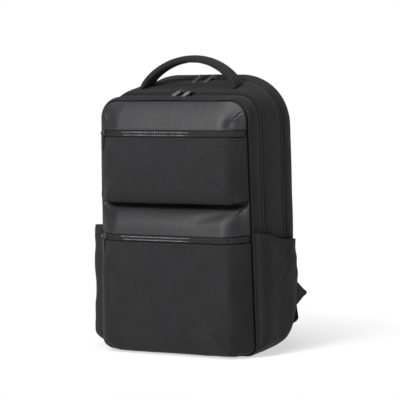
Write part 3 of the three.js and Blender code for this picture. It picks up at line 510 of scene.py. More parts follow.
def cloth_patch(point, us, vs, inside, closed=False):
    """A skin through point(u, v), given in millimetres, with its weave laid out in metres."""
    rows = [[point(u, v) * MM for u in us] for v in vs]
    middle = len(us) // 2
    across = [lengths(row, middle) for row in rows]
    down = lengths([row[middle] for row in rows], 0)
    bm = bmesh.new()
    cloth = bm.loops.layers.uv.new("cloth")
    bmesh.ops.create_grid(bm, x_segments=len(us) - 1, y_segments=len(vs) - 1, size=1)
    places = {}
    for vert in bm.verts:
        i = round((vert.co.x + 1) / 2 * (len(us) - 1))
        j = round((vert.co.y + 1) / 2 * (len(vs) - 1))
        places[vert] = (i, j)
        vert.co = rows[j][i]
    for face in bm.faces:
        for loop in face.loops:
            i, j = places[loop.vert]
            loop[cloth].uv = (across[j][i], down[j])
    if closed:
        bmesh.ops.remove_doubles(bm, verts=bm.verts, dist=SAME_POINT)
    turn_outwards(bm, inside)
    return bm


def seat(point, along, out):
    """The place of a small part that lies along a line on the cloth."""
    x = along.normalized()
    z = (out - x * out.dot(x)).normalized()
    y = z.cross(x)
    return Matrix.Translation(point * MM) @ Matrix((x, y, z)).transposed().to_4x4()


def walk(points, outs, spacing, start=0.0):
    """Places at equal distances along a line of points, from start to its end."""
    total = lengths(points, 0)
    count = max(1, round((total[-1] - start) / spacing))
    places = []
    i = 0
    for k in range(count):
        at = mix(start, total[-1], (k + 0.5) / count)
        while i + 2 < len(total) and total[i + 1] < at:
            i += 1
        share = (at - total[i]) / (total[i + 1] - total[i])
        point = points[i].lerp(points[i + 1], share)
        out = outs[i].lerp(outs[i + 1], share)
        places.append(seat(point, points[i + 1] - points[i], out))
    return places


def repeat(name, small, places, material, slot):
    """One piece made of copies of a small mesh."""
    bm = bmesh.new()
    for place in places:
        copy = small.copy()
        copy.transform(place)
        bm.from_mesh(copy)
        bpy.data.meshes.remove(copy)
    return finish_piece(name, bm, material, slot)


def stitch_mesh(length, width):
    """One stitch: a short rounded bead of thread, half sunk in the cloth."""
    bm = bmesh.new()
    bmesh.ops.create_icosphere(bm, subdivisions=1, radius=0.5)
    bmesh.ops.scale(bm, vec=Vector((length, width, width)) * MM, verts=bm.verts)
    return mesh_of(bm, "stitch")


TOOTH_ROUNDING = 0.28


def tooth_mesh(length, width, height):
    """One turn of a zip's coil: a rounded bar across the tape."""
    bm = bmesh.new()
    bmesh.ops.create_cube(bm, size=1)
    bmesh.ops.scale(bm, vec=Vector((length, width, height)) * MM, verts=bm.verts)
    bmesh.ops.bevel(
        bm, geom=bm.edges[:], affect="EDGES", offset=length * TOOTH_ROUNDING * MM, segments=1,
        profile=0.5, material=-1,
    )
    return mesh_of(bm, "tooth")


STITCH = stitch_mesh(length=2.6, width=0.75)
STITCH_PITCH = 3.4
STITCH_LIFT = 0.15
TOOTH = tooth_mesh(length=1.15, width=3.6, height=1.1)
TOOTH_PITCH = 1.8


def stitch_row(name, points, outs, slot, pitch=STITCH_PITCH):
    """A row of stitches along a line on the cloth."""
    return repeat(name, STITCH, walk(points, outs, pitch), THREAD, slot)


# Gussets: bands of cloth round the bag, whose edges turn in at the zips

# Edge of a band: share of its depth, and how far the cloth is raised above the bag's skin
EDGE_TURN = [(0, -3.2), (0, -0.9), (0.008, -0.25), (0.03, 0)]
# The cloth is taut up to this height above the floor, and slack this much higher
TAUT_HEIGHT = 4
SLACK_RISE = 30
# Waves of the cloth: height, size, seed
BAND_WAVES = [(1.3, 70, 0.0), (0.5, 22, 4.0)]
BAND_CALM = 12
# Puckers along the seams, and how fast they fade away from them
PUCKER_HEIGHT = 0.55
PUCKER_SIZE = 9
PUCKER_SEED = 9.0
PUCKER_FADE = 14


def slackness(point):
    """How slack the cloth is at a point's height, from 0 at the base to 1."""
    return ease((point.z - TAUT_HEIGHT) / SLACK_RISE)


def band_rows(interior):
    """Shares of a band's depth, each with how far the cloth is raised there."""
    rows = list(EDGE_TURN)
    rows += [(i / interior, 0) for i in range(1, interior)]
    rows += [(1 - share, out) for share, out in reversed(EDGE_TURN)]
    return rows


def band(name, front, back, rows, crown, replaced):
    """A band between two depths. front and back give the depths of its edges at a place."""
    def point(u, v):
        place = RING[round(u)]
        share, turned = rows[round(v)]
        depth = mix(front(place), back(place), share)
        flat = body_point(place, depth)
        edge = min(share, 1 - share)
        slack = slackness(flat)
        puff = crown * math.sin(math.pi * share) * slack
        wave = waves_at(flat, BAND_WAVES) * (clamp(edge * BAND_CALM) * slack)
        fade = math.exp(-edge * PUCKER_FADE)
        pucker = PUCKER_HEIGHT * fade * crumple(flat, PUCKER_SIZE, PUCKER_SEED)
        return body_point(place, depth, turned + puff + wave + pucker)

    bm = cloth_patch(point, list(range(len(RING))), list(range(len(rows))), INSIDE, closed=True)
    return finish_piece(name, bm, CANVAS, "canvas", replaced, CLOTH)


def constant(depth):
    return lambda place: depth


def beside_zip(open_depth, closed_depth):
    """The edge of the middle band: it widens below the ends of the zip."""
    return lambda place: open_depth if place[1] <= ZIP_LAST else closed_depth


# The hidden wall behind the front pockets and the rounded rim: share of the band's depth, raise
RIM_ROWS = [
    (0.0, -60), (0.0, -12), (0.03, -6), (0.1, -3.6), (0.07, -2.1), (0.045, -1.1), (0.06, -0.4),
    (0.1, -0.1), (0.19, 0),
]
RIM_DEPTH = 0.3
FRONT_CROWN = 1.2
MIDDLE_CROWN = 2.0
MIDDLE_ROWS = 22


def front_gusset():
    """The front band, its rounded rim and the hidden wall behind the front pockets."""
    rows = RIM_ROWS + [(share, 0) for share in spread(0.25, 0.94, 12)]
    rows += [(1 - share, out) for share, out in reversed(EDGE_TURN)]
    front = constant(RIM_DEPTH)
    back = constant(FRONT_GUSSET - SEAM_GAP)
    return band("front_gusset", front, back, rows, FRONT_CROWN, ["front_compartment"])


def middle_gusset():
    """The middle band, which is wider below the ends of the two zips."""
    front = beside_zip(MIDDLE_START + SEAM_GAP, FRONT_GUSSET + SEAM_GAP)
    back = beside_zip(REAR_ZIP_START - SEAM_GAP, REAR_START - SEAM_GAP)
    rows = band_rows(MIDDLE_ROWS)
    return band("middle_gusset_cloth", front, back, rows, MIDDLE_CROWN, ["middle_gusset"])


REAR_CROWN = 1.4
REAR_WAVE = (1.2, 60, 2.0)
REAR_CALM_DEPTH = 4
BACK_WALL_CENTRE = Vector((0, BODY_DEPTH - BASE_CENTRE, 240))
# how far the rings of the back wall are drawn in to its middle
BACK_WALL_SHRINKS = [0.04, 0.1, 0.2, 0.4, 0.7, 1.0]


def rear_profile():
    """Depth and raise of the rows of the rear band, round its edge to the back wall."""
    start = REAR_START + SEAM_GAP
    straight = BODY_DEPTH - BACK_EDGE
    profile = [(start, turned) for share, turned in EDGE_TURN[:2]]
    profile += [(start + 0.3, -0.25), (start + 0.9, 0)]
    profile += [(depth, 0) for depth in spread(start + 3, straight, 9)]
    for angle in spread(0, math.pi / 2, 6)[1:]:
        depth = straight + BACK_EDGE * math.sin(angle)
        profile.append((depth, -BACK_EDGE * (1 - math.cos(angle))))
    return profile


def rear_gusset():
    """The rear band with its rounded edge, and the back wall drawn in to its middle."""
    start = REAR_START + SEAM_GAP
    straight = BODY_DEPTH - BACK_EDGE
    profile = rear_profile()

    def point(u, v):
        place = RING[round(u)]
        row = round(v)
        depth, out = profile[min(row, len(profile) - 1)]
        flat = body_point(place, depth)
        calm = clamp((depth - start) / REAR_CALM_DEPTH) * slackness(flat)
        crown = REAR_CROWN * math.sin(math.pi * clamp((depth - start) / (straight - start)))
        wave = (crown + waves_at(flat, [REAR_WAVE])) * calm if row < len(profile) - 3 else 0
        skin = body_point(place, depth, out + wave)
        if row < len(profile):
            return skin
        return skin.lerp(BACK_WALL_CENTRE, BACK_WALL_SHRINKS[row - len(profile)])

    count = len(profile) + len(BACK_WALL_SHRINKS)
    bm = cloth_patch(point, list(range(len(RING))), list(range(count)), INSIDE, closed=True)
    return finish_piece("rear_gusset", bm, CANVAS, "canvas", ["laptop_compartment"], CLOTH)


def zip_line(depth, out):
    """Points along a compartment zip and the ways out of the cloth there."""
    points = [body_point(place, depth, out) for place in ZIP_RING]
    outs = [body_out(place, depth) for place in ZIP_RING]
    return points, outs


# Section of a zip's tape: share of its width, raise
ZIP_TAPE_ROWS = [
    (0, -0.9), (0.15, -0.8), (0.3, -0.75), (0.5, -0.7), (0.7, -0.75), (0.85, -0.8), (1, -0.9),
]
TAPE_THICKNESS = 0.9
# the tape runs this far under the cloth beside it
TAPE_TUCK = 0.4
COIL_RAISE = -0.3
SEAM_TO_STITCHES = 2.2


def compartment_zip(name, start):
    """The tape and coil of a zip that runs over the bag and down both sides."""
    def point(u, v):
        share, out = ZIP_TAPE_ROWS[round(v)]
        depth = start - TAPE_TUCK + share * (ZIP_WIDTH + 2 * TAPE_TUCK)
        return body_point(ZIP_RING[round(u)], depth, out)

    bm = cloth_patch(point, list(range(len(ZIP_RING))), list(range(len(ZIP_TAPE_ROWS))), INSIDE)
    finish_piece(f"{name}_tape", bm, TAPE, "zip_tape", [name], TAPE_THICKNESS)
    points, outs = zip_line(start + ZIP_WIDTH / 2, COIL_RAISE)
    repeat(f"{name}_coil", TOOTH, walk(points, outs, TOOTH_PITCH), COIL, "zip_tape")
    front = start - SEAM_TO_STITCHES
    rear = start + ZIP_WIDTH + SEAM_TO_STITCHES
    for edge, depth in (("front", front), ("rear", rear)):
        points, outs = zip_line(depth, STITCH_LIFT)
        stitch_row(f"{name}_{edge}_stitches", points, outs, "canvas")


front_gusset()
middle_gusset()
rear_gusset()
compartment_zip("front_zip", FRONT_GUSSET)
compartment_zip("rear_zip", REAR_ZIP_START)


# Front pockets. Each row of a profile: down its own height, the same at the side seam, out as a
# share of the pocket's bulge, ramp from the hip ramp to the side ramp, roundness of the side wall.

SEAM_INSET = 2
UPPER_BULGE = 30
LOWER_BULGE = 36
UPPER_ZIP = 372
FOLD = 251
LOWER_TOP = 254
LOWER_ZIP = 199
POCKET_ZIP = 12
GARAGE_LENGTH = 22
POCKET_FLOOR = 1.5
HIP_RAMP = 46
SIDE_RAMP = 30
FRONT_STAND_OFF = 2.7
SEAM_FRAME = body_frame(0, SEAM_INSET)

UPPER_TOP_ROWS = [
    (0, 0, 0, 0, 0),
    (0.05, 0.05, 0.06, 0, 0),
    (0.16, 0.16, 0.16, 0, 0),
    (0.4, 0.4, 0.34, 0, 0),
    (0.7, 0.7, 0.53, 0, 0),
    (1, 1, 0.7, 0.15, 0),
]
UPPER_FACE_ROWS = [
    (0, 0, 0.76, 0.35, 0),
    (0.12, 0.12, 0.85, 0.7, 0.1),
    (0.3, 0.3, 0.94, 1, 0.2),
    (0.55, 0.53, 1, 1, 0.2),
    (0.8, 0.77, 0.98, 1, 0.2),
    (0.91, 0.88, 0.9, 1, 0.35),
    (0.97, 0.912, 0.78, 1, 0.5),
    (1, 0.926, 0.55, 1, 0.55),
    (0.985, 0.936, 0.3, 1, 0.55),
    (0.95, 0.945, 0.1, 1, 0.5),
]
LOWER_TOP_ROWS = [
    (0, 0, 0.02, 0.3, 0),
    (0.12, 0.12, 0.12, 0.2, 0),
    (0.32, 0.32, 0.36, 0.1, 0),
    (0.65, 0.63, 0.64, 0.1, 0),
    (1, 0.96, 0.79, 0.3, 0),
]
LOWER_FACE_ROWS = [
    (0, -0.01, 0.82, 0.5, 0),
    (0.1, 0.09, 0.9, 0.8, 0.1),
    (0.3, 0.3, 0.98, 1, 0.2),
    (0.55, 0.55, 1, 1, 0.2),
    (0.8, 0.8, 0.98, 1, 0.2),
    (0.9, 0.9, 0.93, 1, 0.2),
    (0.955, 0.95, 0.84, 1, 0.3),
    (0.985, 0.98, 0.68, 1, 0.3),
    (1, 0.995, 0.4, 1, 0.3),
    (1, 1, 0.02, 1, 0.3),
]

# Creases in the front: from x, z to x, z, then depth, width and the height of the ridge beside them
CREASES = [
    (141, 411, 119, 391, 1.5, 1.3, 1.5),
    (116, 390, 110, 372, 1.9, 8, 0),
    (134, 396, 130, 374, 1.6, 8, 0),
    (-128, 401, -118, 388, 2.0, 2.4, -0.8),
    (-118, 388, -100, 376, 1.6, 7, -0.3),
    (138, 254, 122, 236, 2.2, 1.6, 1.5),
    (40, 221, 112, 240, 1.3, 8, 0),
    (134, 244, 136, 204, 2.2, 13, 0),
    (-126, 246, -106, 222, 1.1, 5, -0.4),
    (78, 42, 128, 5, 3.6, 5, 1.2),
    (116, 34, 143, 10, 4.2, 9, 0),
    (-126.6, 22, -107.5, 7, 2.6, 3.8, -1.0),
    (-110, 160, -107, 60, 1.3, 6, 0.9),
    (80, 290, 134, 257, 3.4, 6, 1.4),
    (106, 264, 126, 253, 2.6, 7, 0),
    (72, 346, 130, 343, 1.3, 1.8, 0.5),
    (-110, 300, -132, 256, 2.4, 7, -1.0),
    (24, 24, 84, 12, 1.3, 7, 0.8),
]


# How far away a crease is felt, in widths, and its depth at its ends as a share
CREASE_REACH = 5
CREASE_END_DEPTH = 0.35
CREASE_FADE = 4
# Place of the ridge beside a crease, in widths
RIDGE_PLACE = 1.7


def crease_relief(x, z):
    """How far the creases push the front of the bag in or out at a point."""
    total = 0.0
    for x0, z0, x1, z1, depth, width, ridge in CREASES:
        dx, dz = x1 - x0, z1 - z0
        length = math.hypot(dx, dz)
        along = clamp(((x - x0) * dx + (z - z0) * dz) / length ** 2)
        away = math.hypot(x - x0 - along * dx, z - z0 - along * dz)
        if away > CREASE_REACH * width:
            continue
        ends = ease(min(along, 1 - along) * CREASE_FADE)
        total -= depth * mix(CREASE_END_DEPTH, 1, ends) * math.exp(-((away / width) ** 2))
        side = ((x - x0) * dz - (z - z0) * dx) / length * math.copysign(1, ridge)
        total += abs(ridge) * ends * math.exp(-(((side - RIDGE_PLACE * width) / width) ** 2))
    return total


def panel_half(z):
    """Half the width of the front panel at a height, with its rounded corners."""
    top, bottom, corner, base, half = SEAM_FRAME
    z = clamp(z, bottom, top)
    above = z - (top - corner)
    if above > 0:
        return half(top - corner) - corner + math.sqrt(max(0.0, corner ** 2 - above ** 2))
    below = bottom + base - z
    if below > 0:
        return half(bottom + base) - base + math.sqrt(max(0.0, base ** 2 - below ** 2))
    return half(z)


def plain_panel(rows, top_z, bottom_z, bulge):
    """The smooth surface of a front panel. u runs from seam to seam, -1 to 1, and v over its rows."""
    curves = [curve_through(list(range(len(rows))), column) for column in zip(*rows)]

    def point(u, v):
        down, rim_down, out, ramp_share, roundness = (curve(v) for curve in curves)
        rim_z = mix(top_z, bottom_z, rim_down)
        half = panel_half(rim_z)
        share = (half - abs(u) * half) / mix(HIP_RAMP, SIDE_RAMP, ramp_share)
        gentle = clamp(share) * (1.5 - 0.5 * clamp(share) ** 2)
        steep = math.sqrt(1 - (1 - clamp(share)) ** 2)
        side = mix(gentle, steep, roundness)
        z = mix(rim_z, mix(top_z, bottom_z, down), side)
        return Vector((u * half, -FRONT_STAND_OFF - out * bulge * side - BASE_CENTRE, z))

    return point


PANEL_STEPS = (0.004, 0.01)
STRIP_STEPS = (0.004, 0.05)


def surface_out(surface, u, v, steps=PANEL_STEPS):
    """The way out of the cloth at a point of a front panel, or of the strip of a zip."""
    across = surface(min(1, u + steps[0]), v) - surface(max(-1, u - steps[0]), v)
    down = surface(u, v + steps[1]) - surface(u, max(0, v - steps[1]))
    return down.cross(across).normalized()


# Slackness of the front panels: height, size, seed of each wave
PANEL_WAVES = [(0.8, 110, 3.0), (0.3, 38, 8.0), (0.12, 8, 5.0)]
PANEL_SEAM_FADE = 9


def panel_relief(point, u):
    """Creases, slackness and grain of a front panel, calm at its side seams."""
    free = ease((1 - abs(u)) * PANEL_SEAM_FADE)
    return free * (waves_at(point, PANEL_WAVES) + crease_relief(point.x, point.z))


# Columns of a panel: how evenly they lie, and how many there are
PANEL_EVENNESS = 0.45
TOP_COLUMNS = 380
FACE_COLUMNS = 300
ZIP_COLUMNS = 150


def panel_us(count):
    """Places across a front panel, closer together towards its side seams."""
    places = []
    for t in spread(-1, 1, count):
        curved = (1 - PANEL_EVENNESS) * math.sin(t * math.pi / 2)
        places.append(PANEL_EVENNESS * t + curved)
    return places


# The welt is a raised lip near a panel's top edge: its place and width, in rows
WELT_PLACE = 0.16
WELT_WIDTH = 0.14
WELT_HEIGHT = 0.7
# The tuck lies under the fold above it, deepest right of the middle
TUCK_DEPTH = 7.5
TUCK_ROWS = 1.25
TUCK_MIDDLE = 0.1
TUCK_HALF_WIDTH = 0.6
TUCK_SEAM_FADE = 16


def tuck_relief(u, v):
    """How deep the cloth is tucked in, as a share."""
    down = math.exp(-((v / TUCK_ROWS) ** 2))
    across = mix(0.5, 1, math.exp(-(((u - TUCK_MIDDLE) / TUCK_HALF_WIDTH) ** 2)))
    return down * across * ease((1 - abs(u)) * TUCK_SEAM_FADE)


def front_panel(name, surface, rows, per_row, columns, material, slot, welt=0.0, tuck=0.0):
    """A front panel with its creases, and a welt at its top edge or a tuck under the fold above."""
    def point(u, v):
        flat = surface(u, v)
        edge = min(v, len(rows) - 1 - v) * 2
        lip = welt * math.exp(-(((v - WELT_PLACE) / WELT_WIDTH) ** 2))
        relief = panel_relief(flat, u) * mix(0.35, 1, clamp(edge)) + lip
        return flat + surface_out(surface, u, v) * (relief - tuck * tuck_relief(u, v))

    vs = spread(0, len(rows) - 1, per_row * (len(rows) - 1))
    bm = cloth_patch(point, panel_us(columns), vs, INSIDE)
    return finish_piece(name, bm, material, slot, [name], CLOTH)


# The seams and zips of the front end at this share of the half width
SEAM_END = 0.985


def panel_line(surface, v, out):
    """Points across a front panel, raised by out, and the ways out of the cloth."""
    points, outs = [], []
    for u in spread(-SEAM_END, SEAM_END, 160):
        flat = surface(u, v)
        way = surface_out(surface, u, v)
        points.append(flat + way * (panel_relief(flat, u) * 0.5 + out))
        outs.append(way)
    return points, outs


# The coil of a pocket zip: dark at both ends, with a painted highlight in between.
# Name, start and end as shares of the half width, material.
POCKET_COILS = [
    ("left", -SEAM_END, -0.62, COIL),
    ("middle", -0.62, 0.3, HIGHLIT_COIL),
    ("right", 0.3, SEAM_END, COIL),
]
# the two rows of teeth: name, place across the zip
POCKET_COIL_ROWS = [("upper", 0.3), ("lower", 0.7)]
# fewer and larger than real ones, so that the teeth still show one by one in a small picture
POCKET_TOOTH = tooth_mesh(length=2.3, width=1.8, height=1.3)
POCKET_TOOTH_PITCH = 4.6
POCKET_TOOTH_RAISE = -0.35
# Section of a pocket zip's tape: share of its width, raise
POCKET_TAPE_ROWS = [
    (0.03, -1.1), (0.2, -0.95), (0.35, -0.85), (0.5, -0.8), (0.65, -0.85), (0.8, -0.95), (0.97, -1.1),
]
# how much of the creases beside it a zip and its garage follow
ZIP_FOLLOWS = 0.5
GARAGE_FOLLOWS = 0.4


def zip_strip(above, last, below):
    """The strip between the bottom edge of one panel and the top edge of the next."""
    def point(u, v):
        return above(u, last).lerp(below(u, 0), v)
    return point


def raised_strip(strip, u, v, raise_by, follows):
    """A point of a strip, raised above it, and the way out there."""
    flat = strip(u, v)
    out = surface_out(strip, u, v, STRIP_STEPS)
    return flat + out * (raise_by + follows * panel_relief(flat, u)), out


def pocket_zip(name, strip):
    """The tape and coil of a front pocket's zip."""
    def point(u, v):
        share, out = POCKET_TAPE_ROWS[round(v)]
        return raised_strip(strip, u, share, out, ZIP_FOLLOWS)[0]

    bm = cloth_patch(point, panel_us(ZIP_COLUMNS), list(range(len(POCKET_TAPE_ROWS))), INSIDE)
    finish_piece(f"{name}_tape", bm, TAPE, "zip_tape", [name], TAPE_THICKNESS)
    for label, start, end, material in POCKET_COILS:
        for row, share in POCKET_COIL_ROWS:
            line = [
                raised_strip(strip, u, share, POCKET_TOOTH_RAISE, ZIP_FOLLOWS)
                for u in spread(start, end, 90)
            ]
            shift = POCKET_TOOTH_PITCH / 2 if row == "lower" else 0
            places = walk(*zip(*line), POCKET_TOOTH_PITCH, shift)
            repeat(f"{name}_coil_{label}_{row}", POCKET_TOOTH, places, material, "zip_tape")


# A garage: its raise above the zip, how far its free edge is pressed down and over what share
# of the half width, and the place, raise and pitch of its stitches
GARAGE_RAISE = 1.7
GARAGE_PRESS = 0.5
GARAGE_PRESS_WIDTH = 0.012
GARAGE_HEM = 0.016
GARAGE_STITCH_RAISE = 1.75
GARAGE_STITCH_PITCH = 2.8
GARAGE_THICKNESS = 0.8


def garage(name, strip, height):
    """The tab of woven tape over the end of a pocket zip, stitched along its free edge."""
    start = SEAM_END - GARAGE_LENGTH / panel_half(height)

    def point(u, v):
        lift = GARAGE_RAISE - GARAGE_PRESS * math.exp(-((u - start) / GARAGE_PRESS_WIDTH) ** 2)
        return raised_strip(strip, u, v, lift, GARAGE_FOLLOWS)[0]

    bm = cloth_patch(point, spread(start, SEAM_END, 24), spread(0.1, 0.9, 10), INSIDE)
    finish_piece(name, bm, TAPE, "coated_cloth", [name], GARAGE_THICKNESS)
    line = [
        raised_strip(strip, start + GARAGE_HEM, v, GARAGE_STITCH_RAISE, GARAGE_FOLLOWS)
        for v in spread(0.16, 0.84, 12)
    ]
    stitch_row(f"{name}_stitches", *zip(*line), "coated_cloth", GARAGE_STITCH_PITCH)


def row_at(rows, down):
    """The place in a profile where it has come down by a share."""
    i = 0
    while i + 2 < len(rows) and rows[i + 1][0] < down:
        i += 1
    return i + (down - rows[i][0]) / (rows[i + 1][0] - rows[i][0])


UPPER_TOP_Z = SEAM_FRAME[0]
upper_top = plain_panel(UPPER_TOP_ROWS, UPPER_TOP_Z, UPPER_ZIP, UPPER_BULGE)
upper_face = plain_panel(UPPER_FACE_ROWS, UPPER_ZIP - POCKET_ZIP, FOLD, UPPER_BULGE)
lower_top = plain_panel(LOWER_TOP_ROWS, LOWER_TOP, LOWER_ZIP, LOWER_BULGE)
lower_face = plain_panel(LOWER_FACE_ROWS, LOWER_ZIP - POCKET_ZIP, POCKET_FLOOR, LOWER_BULGE)
upper_strip = zip_strip(upper_top, len(UPPER_TOP_ROWS) - 1, upper_face)
lower_strip = zip_strip(lower_top, len(LOWER_TOP_ROWS) - 1, lower_face)

front_panel(
    "upper_pocket_top", upper_top, UPPER_TOP_ROWS, 15, TOP_COLUMNS, COATED, "coated_cloth",
)
front_panel(
    "upper_pocket_face", upper_face, UPPER_FACE_ROWS, 9, FACE_COLUMNS, CANVAS, "canvas",
    welt=WELT_HEIGHT,
)
front_panel(
    "lower_pocket_top", lower_top, LOWER_TOP_ROWS, 17, TOP_COLUMNS, COATED, "coated_cloth",
    tuck=TUCK_DEPTH,
)
front_panel(
    "lower_pocket_face", lower_face, LOWER_FACE_ROWS, 11, FACE_COLUMNS, CANVAS, "canvas",
    welt=WELT_HEIGHT,
)
pocket_zip("upper_pocket_zip", upper_strip)
pocket_zip("lower_pocket_zip", lower_strip)
garage("upper_zip_garage", upper_strip, UPPER_ZIP)
garage("lower_zip_garage", lower_strip, LOWER_ZIP)

# Distance of the stitches from the edges of the tops and of the faces
TOP_HEM = 2.4
FACE_HEM = 3.4
FACE_TOPS = (UPPER_ZIP - POCKET_ZIP, LOWER_ZIP - POCKET_ZIP)
STITCHED_EDGES = [
    ("upper_top", upper_top, UPPER_TOP_ROWS, 1 - TOP_HEM / (UPPER_TOP_Z - UPPER_ZIP), "coated_cloth"),
    ("upper_face", upper_face, UPPER_FACE_ROWS, FACE_HEM / (FACE_TOPS[0] - FOLD), "canvas"),
    ("lower_top", lower_top, LOWER_TOP_ROWS, 1 - TOP_HEM / (LOWER_TOP - LOWER_ZIP), "coated_cloth"),
    ("lower_face", lower_face, LOWER_FACE_ROWS, FACE_HEM / FACE_TOPS[1], "canvas"),
]
for edge_name, edge_surface, edge_rows, edge_down, edge_slot in STITCHED_EDGES:
    edge_line = panel_line(edge_surface, row_at(edge_rows, edge_down), STITCH_LIFT)
    stitch_row(f"{edge_name}_stitches", *edge_line, edge_slot)


# Side pockets: gathered canvas with an elastic hem

POCKET_DROP = 24
SIDE_STAND_OFF = 1.9
POCKET_FRONT = 0.6
POCKET_BACK = BODY_DEPTH - BACK_EDGE
SIDE_FLOOR = 8
HEM = 12
# Share of the pocket's depth, fullness
POCKET_ACROSS = table_curves([
    (0, 0), (0.02, 0), (0.06, 0.5), (0.12, 0.84), (0.25, 1), (0.45, 0.97), (0.65, 0.97),
    (0.8, 0.92), (0.92, 0.74), (0.96, 0.5), (0.985, 0), (1, 0),
])[0]
# Share of the pocket's height, fullness where it is taut, fullness where it sags, and share of its depth
POCKET_DOWN, POCKET_SAG, POCKET_BACK_SHARE = table_curves([
    (0, 0.8, 0.85, 1),
    (0.12, 0.93, 0.98, 1),
    (0.35, 1, 1, 1),
    (0.6, 1, 0.96, 0.96),
    (0.8, 0.95, 1, 0.85),
    (0.91, 0.82, 0.98, 0.73),
    (0.965, 0.55, 0.55, 0.63),
    (0.985, 0, 0, 0.57),
    (1, 0, 0, 0.54),
])
# Slackness of the side pockets: height, size, seed of each wave
POCKET_WAVES = [(2.6, 48, 0), (1.0, 20, 3)]
FULL_BULGE = 27
# Diagonal wrinkles from the rear upper corner
WRINKLE_HEIGHT = 2.4
WRINKLE_SIZE = 15
WRINKLE_SEED = 8
WRINKLE_FADE = 3
# Gathers under the elastic, as waves over the pocket's depth
GATHER_RATE = 62
GATHER_FADE = 9
# The rim hangs unevenly and dips in its middle
DROOP = 2.2
DROOP_SIZE = 40
DROOP_SEED = 5
DROOP_FADE = 10
RIM_DIP = 4.5
RIM_DIP_FADE = 9


def side_x(depth, z):
    """Outer face of the bag's side at a depth and height."""
    _, bottom, _, base, half = body_frame(depth, 0)
    below = bottom + base - z
    if below <= 0:
        return half(z)
    return half(bottom + base) - base + math.sqrt(max(0.0, base ** 2 - below ** 2))


def pocket_slack(u, v, depth, z, seed):
    """Folds of a side pocket at a point: broad waves and the wrinkles from its rear corner."""
    drawn = Vector((0, 0.25 * (depth + z), depth - z))
    fade = math.exp(-WRINKLE_FADE * ((1 - u) ** 2 + v ** 2))
    wrinkle = WRINKLE_HEIGHT * fade * crumple(drawn, WRINKLE_SIZE, seed + WRINKLE_SEED)
    return waves_at(Vector((0, depth, z)), POCKET_WAVES, seed) + wrinkle


def pocket_gather(u, v, spot, seed):
    """Gathers that the elastic makes just under the rim."""
    swing = math.sin(u * GATHER_RATE + 3 * crumple(spot, 30, seed))
    return math.exp(-v * GATHER_FADE) * (swing * crumple(spot, 34, 6.0))


def rim_droop(u, v, depth, seed):
    """How far the rim hangs above or below its straight line."""
    uneven = crumple(Vector((0, depth, 0)), DROOP_SIZE, seed + DROOP_SEED)
    dip = RIM_DIP * math.exp(-v * RIM_DIP_FADE) * math.sin(math.pi * u) ** 2
    return DROOP * math.exp(-v * DROOP_FADE) * uneven - dip


def side_pocket_surface(side, rim, bulge, sag, seed):
    """The surface of a side pocket: u from its front seam to its back seam, v from its rim down."""
    def point(u, v):
        depth = mix(POCKET_FRONT, POCKET_BACK * POCKET_BACK_SHARE(v), u)
        z = mix(rim - POCKET_DROP * u, SIDE_FLOOR, v)
        full = POCKET_ACROSS(u) * mix(POCKET_DOWN(v), POCKET_SAG(v), sag)
        spot = Vector((0, depth, z))
        slack = pocket_slack(u, v, depth, z, seed) * mix(0.45, 1, bulge / FULL_BULGE)
        folds = ease(full * 2.5) * (slack + pocket_gather(u, v, spot, seed))
        out = side_x(min(depth, BODY_DEPTH), z) + SIDE_STAND_OFF + bulge * full + folds
        droop = rim_droop(u, v, depth, seed) * ease(full * 2)
        return Vector((side * out, depth - BASE_CENTRE, z + droop))
    return point


# The body of the pocket starts a little above the hem's lower edge, as a share of its height
HEM_OVERLAP = 0.006
HEM_THICKNESS = 2.2
HEM_RAISE = 0.25
HEM_ROLL = 0.5
HEM_RUCK = 0.25
HEM_RUCK_RATE = 150
# Rows of stitches: name, place in heights of the hem, raise
HEM_STITCHES = [("upper", 0.36, 1.05), ("lower", 1.12, 0.45)]


def side_pocket(name, side, rim, bulge, sag, seed):
    """A side pocket of gathered canvas, its elastic hem and the hem's stitches."""
    surface = side_pocket_surface(side, rim, bulge, sag, seed)
    hem_share = HEM / (rim - SIDE_FLOOR)
    body_vs = spread(hem_share - HEM_OVERLAP, 1, 96)
    bm = cloth_patch(surface, spread(0, 1, 90), body_vs, INSIDE)
    finish_piece(f"side_pocket_{name}", bm, CANVAS, "canvas", [f"side_pocket_{name}"], CLOTH)

    def hem_point(u, v):
        round_off = math.sqrt(max(0.0, 1 - ((v / hem_share) * 2 - 1) ** 2))
        ruck = HEM_RUCK * math.sin(u * HEM_RUCK_RATE) * ease(POCKET_ACROSS(u) * 2)
        return surface(u, v) + Vector((side * (HEM_RAISE + HEM_ROLL * round_off + ruck), 0, 0))

    bm = cloth_patch(hem_point, spread(0, 1, 260), spread(0, hem_share, 14), INSIDE)
    hem = f"side_pocket_hem_{name}"
    finish_piece(hem, bm, CANVAS, "canvas", [hem], HEM_THICKNESS)
    for label, hems, raise_by in HEM_STITCHES:
        raised = Vector((side * raise_by, 0, 0))
        points = [surface(u, hems * hem_share) + raised for u in spread(0.03, 0.97, 120)]
        outs = [Vector((side, 0, 0))] * len(points)
        stitch_row(f"side_pocket_{label}_stitches_{name}", points, outs, "canvas")


# the left pocket sags, the right one is taut
side_pocket("left", -1, rim=211, bulge=26, sag=1, seed=2.0)
side_pocket("right", 1, rim=205, bulge=13.5, sag=0, seed=31.0)


# Handle, back pad, shoulder straps and webbing

HANDLE_SPAN = 175
HANDLE_RISE = 47.5
HANDLE_FULLNESS = 1.5
HANDLE_LEAN = 4
HANDLE_WIDTH = 27
HANDLE_FOOT_WIDTH = 35
HANDLE_THICKNESS = 12
HANDLE_DEPTH = 66.8
HANDLE_SQUARENESS = 0.62
# its thickness is pinched at the feet, and how fast the pinch fades
HANDLE_PINCH = 0.3
HANDLE_PINCH_FADE = 26
